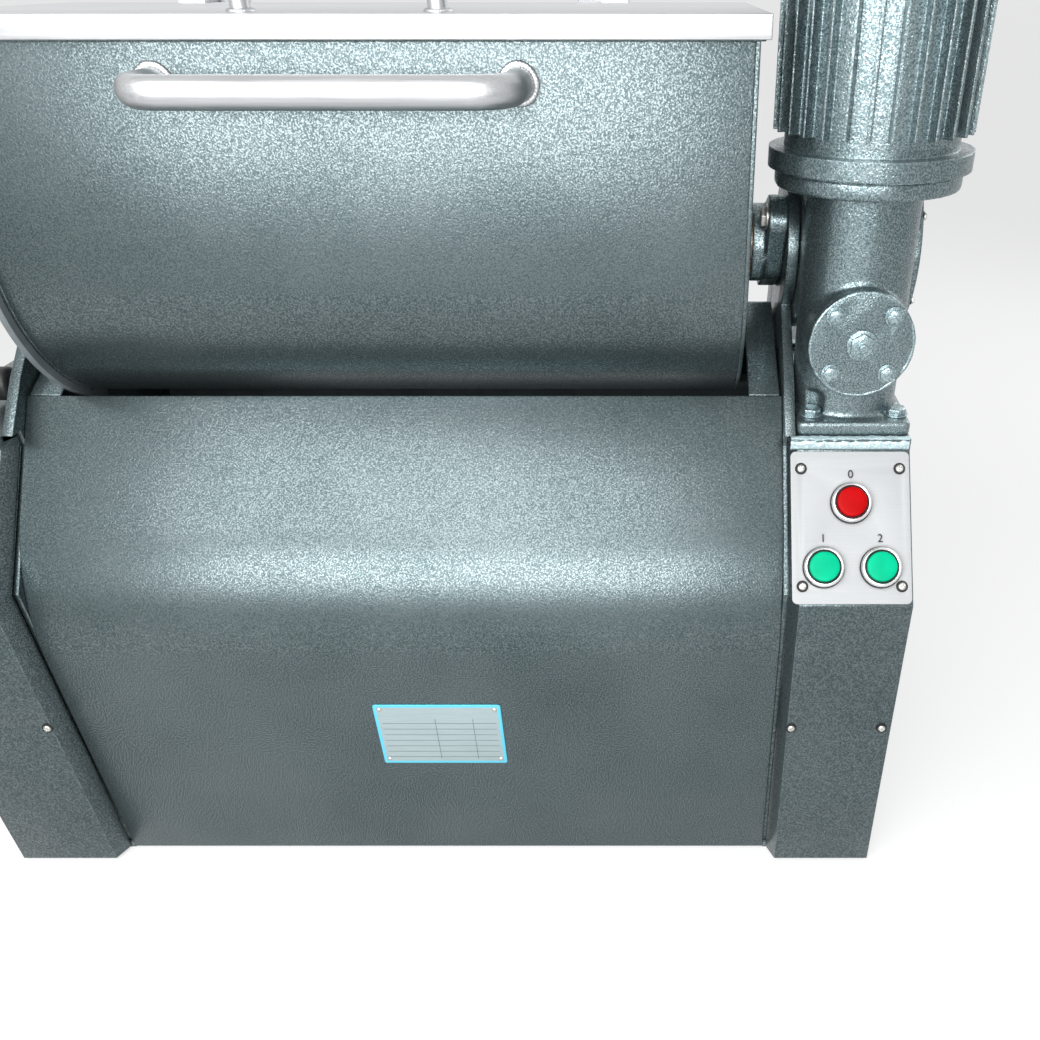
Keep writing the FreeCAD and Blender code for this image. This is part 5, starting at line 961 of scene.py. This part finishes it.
class MIXER_OT_beads(bpy.types.Operator):
    """Lay the weld beads and the lumpy paint in front of the gearbox foot"""

    bl_idname = "mixer.beads"
    bl_label = "Beads"

    def execute(self, context):
        wall = Vector((0, low("trough_shell").y, middle("tipping_handle").z))
        self.bar_welds("tipping_handle", "handle_welds", "trough", wall, 2, FORWARD, (1.2, 2.4, 2.0), 9)
        wall = Vector((0, middle("lid_grip").y, low("lid_grip").z))
        self.bar_welds("lid_grip", "grip_welds", "lid", wall, 1, UP, (0.8, 1.8, 1.6), 7)
        self.paint_strip()
        self.paint_ridges()
        return {"FINISHED"}

    def bar_welds(self, node, name, body, wall, thickness, axis, sizes, seed):
        """Weld beads round both feet of a bent bar. The wall is a place on what it stands on, and
        thickness is the number of the direction across the bar. Sizes are the bead's distance from
        the bar, its width and its height, in millimetres."""
        first, last = low(node), high(node)
        radius = (last[thickness] - first[thickness]) / 2
        away, width, height = (size * MM for size in sizes)
        bm = bmesh.new()
        for end in (first.x + radius, last.x - radius):
            bead = ring_bead(Vector((end, wall.y, wall.z)), radius + away, axis, width, height, 0.25,
                             end * seed, 0.10)
            stamp(bm, bead, [Matrix()])
        settle(bm, name, body, "stainless", (), 60.0)

    def paint_strip(self):
        """Thick brushed paint that fills the step between the gearbox foot and the panel; its near-white finish is
        a much lighter copy of the enamel, painted light.
        """
        panel = (low("control_panel"), high("control_panel"))
        ledge = high("pedestal_shell_right").z
        foot = min(corner.y for corner in islands("gearbox_housing")[0] if corner.z < ledge + 1 * MM)
        lip = foot - 5 * MM
        upper = Vector((0, foot + 0.2 * MM, ledge + 0.1 * MM))
        corner = Vector((0, lip, upper.z))
        lower = Vector((0, lip, panel[1].z + 0.5 * MM))
        front = 0.8
        sunk = -0.4
        furrow_width = 0.05

        def place(along, around):
            """Spot on the paint: the front share of the way round is its face, the rest its back."""
            x = panel[0].x + (panel[1].x - panel[0].x) * along
            around = 0.0 if around > 0.999 else around
            down = around / front if around <= front else 1 - (around - front) / (1 - front)
            spot = upper.lerp(corner, down * 2) if down < 0.5 else corner.lerp(lower, down * 2 - 1)
            turn = min(max((down - 0.38) / 0.24, 0.0), 1.0) * math.pi / 2
            out = UP * math.cos(turn) + FORWARD * math.sin(turn)
            if around > front:
                rise = sunk
            else:
                furrow = 0.58 + 0.09 * noise.noise(Vector((x / 0.011, 3.0, 0)))
                wave = noise.noise(Vector((x / 0.012, down * 1.6, 7.0)))
                crease = noise.noise(Vector((x / 0.004, down * 4.0, 2.0)))
                cut = math.exp(-((down - furrow) / furrow_width) ** 2)
                edge = math.sin(math.pi * min(max(down, 0.02), 0.98)) ** 0.3
                rise = (1.1 + 0.6 * wave + 0.7 * crease - 1.7 * cut) * edge
            return spot + OUTWARD * x + out * rise * MM

        settle(wrapped(150, 20, place), "foot_sealant", "base", "thick_paint", (), 70.0)

    def paint_ridges(self):
        """Ridges of paint round the inspection cover and between the two flanges; their bolt paint is a lighter
        copy of the enamel, a painted highlight on the rims.
        """
        cover = middle("inspection_cover")
        cover.y = low("inspection_cover").y + 0.9 * MM
        rim = (high("inspection_cover").x - low("inspection_cover").x) / 2 - 1.0 * MM
        bead = ring_bead(cover, rim, FORWARD, 1.3 * MM, 1.1 * MM, 0.35, 5.0, count=160)
        settle(bead, "cover_ridge", "base", "bolt_paint", (), 60.0)
        flange = Vector(JOINTS["worm_spin"]["pos_m"])
        flange.z = high("gearbox_housing").z
        rim = (high("gearbox_housing").x - low("gearbox_housing").x) / 2 - 0.6 * MM
        bead = ring_bead(flange, rim, UP, 1.6 * MM, 1.3 * MM, 0.5, 9.0, on_rim=True, count=240)
        settle(bead, "flange_ridge", "base", "bolt_paint", (), 60.0)


class MIXER_OT_finishes(bpy.types.Operator):
    """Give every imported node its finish"""

    bl_idname = "mixer.finishes"
    bl_label = "Finishes"

    def execute(self, context):
        for name, node in frame["nodes"].items():
            node.data.materials.clear()
            node.data.materials.append(finish_for(node_finish(name)))
        return {"FINISHED"}


# Lamps: the name, the place and the target, the width and the depth, and the setting of the power
LAMPS = (
    ("key", (-0.36, -1.13, 1.56), (-0.05, 0.0, 0.35), 1.80, 0.96, "key_power"),
    ("front", (-0.20, -1.45, 0.73), (-0.02, -0.1, 0.38), 1.65, 0.56, "front_power"),
    ("rim", (1.5, 1.1, 1.3), (0.0, 0.0, 0.4), 1.0, 1.0, "rim_power"),
)


class MIXER_OT_stage(bpy.types.Operator):
    """Place the camera, the pale floor and the lights"""

    bl_idname = "mixer.stage"
    bl_label = "Stage"

    def execute(self, context):
        s = context.scene.mixer_stage
        view = bpy.data.cameras.new("view")
        view.lens = s.lens
        view.sensor_width = 36.0
        view.shift_x = s.shift_x
        view.shift_y = s.shift_y
        view.clip_start = 0.02
        camera = add_object("view", view)
        camera.location = (s.camera_x, s.camera_y, s.camera_z)
        camera.rotation_euler = (s.camera_tilt, 0, 0)
        context.scene.camera = camera
        self.floor(s)
        self.world(context, s)
        for name, place, target, width, depth, power in LAMPS:
            self.lamp(name, place, target, width, depth, getattr(s, power))
        context.scene.view_settings.view_transform = "Standard"
        return {"FINISHED"}

    def floor(self, s):
        """Pale floor; the camera and reflections see it paler still."""
        bm = bmesh.new()
        bmesh.ops.create_grid(bm, x_segments=1, y_segments=1, size=s.floor_size / 2)
        mesh = bpy.data.meshes.new("floor")
        bm.to_mesh(mesh)
        bm.free()
        floor = add_object("floor", mesh)
        w, shader = new_material("floor_paper", s.floor_colour)
        w.join(shader, Base_Color=tinted(s.floor_colour), Roughness=0.9, Specular_IOR_Level=0.1,
               Emission_Color=(1, 1, 1, 1), Emission_Strength=w.maths("MULTIPLY", w.seen(), s.floor_lift))
        mesh.materials.append(FINISHES["floor_paper"])

    def world(self, context, s):
        """Even light from all round, which the camera and reflections see as white."""
        world = context.scene.world or bpy.data.worlds.new("studio")
        context.scene.world = world
        world.use_nodes = True
        w = Wiring(world.node_tree)
        world.node_tree.nodes.clear()
        even = w.node("ShaderNodeBackground", Color=(0.95, 0.97, 1.0, 1.0), Strength=s.world_level)
        pale = w.node("ShaderNodeBackground", Color=(1, 1, 1, 1), Strength=1.0)
        both = w.node("ShaderNodeMixShader", Fac=w.seen())
        w.feed(both, 1, even.outputs[0])
        w.feed(both, 2, pale.outputs[0])
        w.node("ShaderNodeOutputWorld", Surface=both.outputs[0])

    def lamp(self, name, place, target, width, depth, power):
        """Soft rectangular lamp that faces a target."""
        light = bpy.data.lights.new(name, "AREA")
        light.shape = "RECTANGLE"
        light.size = width
        light.size_y = depth
        light.energy = power
        lamp = add_object(name, light)
        lamp.location = place
        lamp.rotation_euler = (Vector(target) - Vector(place)).to_track_quat("-Z", "Y").to_euler()


class MIXER_PT_panel(bpy.types.Panel):
    """Lists the steps that dress the mixer"""

    bl_idname = "MIXER_PT_panel"
    bl_label = "Dough mixer"
    bl_space_type = "VIEW_3D"
    bl_region_type = "UI"
    bl_category = "Dough mixer"

    def draw(self, context):
        """Lay out the steps and the settings."""
        layout = self.layout
        for operator in STEPS:
            layout.operator(operator.bl_idname)
        for group in (context.scene.mixer_finish, context.scene.mixer_stage):
            box = layout.box()
            for name in group.__annotations__:
                box.prop(group, name)


STEPS = (MIXER_OT_stage, MIXER_OT_finishes, MIXER_OT_sheet_metal, MIXER_OT_castings, MIXER_OT_fasteners,
         MIXER_OT_buttons, MIXER_OT_beads)
CLASSES = (MixerFinishSettings, MixerStageSettings, *STEPS, MIXER_PT_panel)


def register():
    """Register the classes and the settings."""
    for item in CLASSES:
        bpy.utils.register_class(item)
    bpy.types.Scene.mixer_finish = bpy.props.PointerProperty(type=MixerFinishSettings)
    bpy.types.Scene.mixer_stage = bpy.props.PointerProperty(type=MixerStageSettings)


def unregister():
    """Take the settings and the classes away again."""
    del bpy.types.Scene.mixer_stage
    del bpy.types.Scene.mixer_finish
    for item in reversed(CLASSES):
        bpy.utils.unregister_class(item)


def main():
    """Dress the mixer step by step."""
    register()
    bpy.ops.mixer.stage()
    bpy.ops.mixer.finishes()
    bpy.ops.mixer.sheet_metal()
    bpy.ops.mixer.castings()
    bpy.ops.mixer.fasteners()
    bpy.ops.mixer.buttons()
    bpy.ops.mixer.beads()


if __name__ == "__main__":
    main()
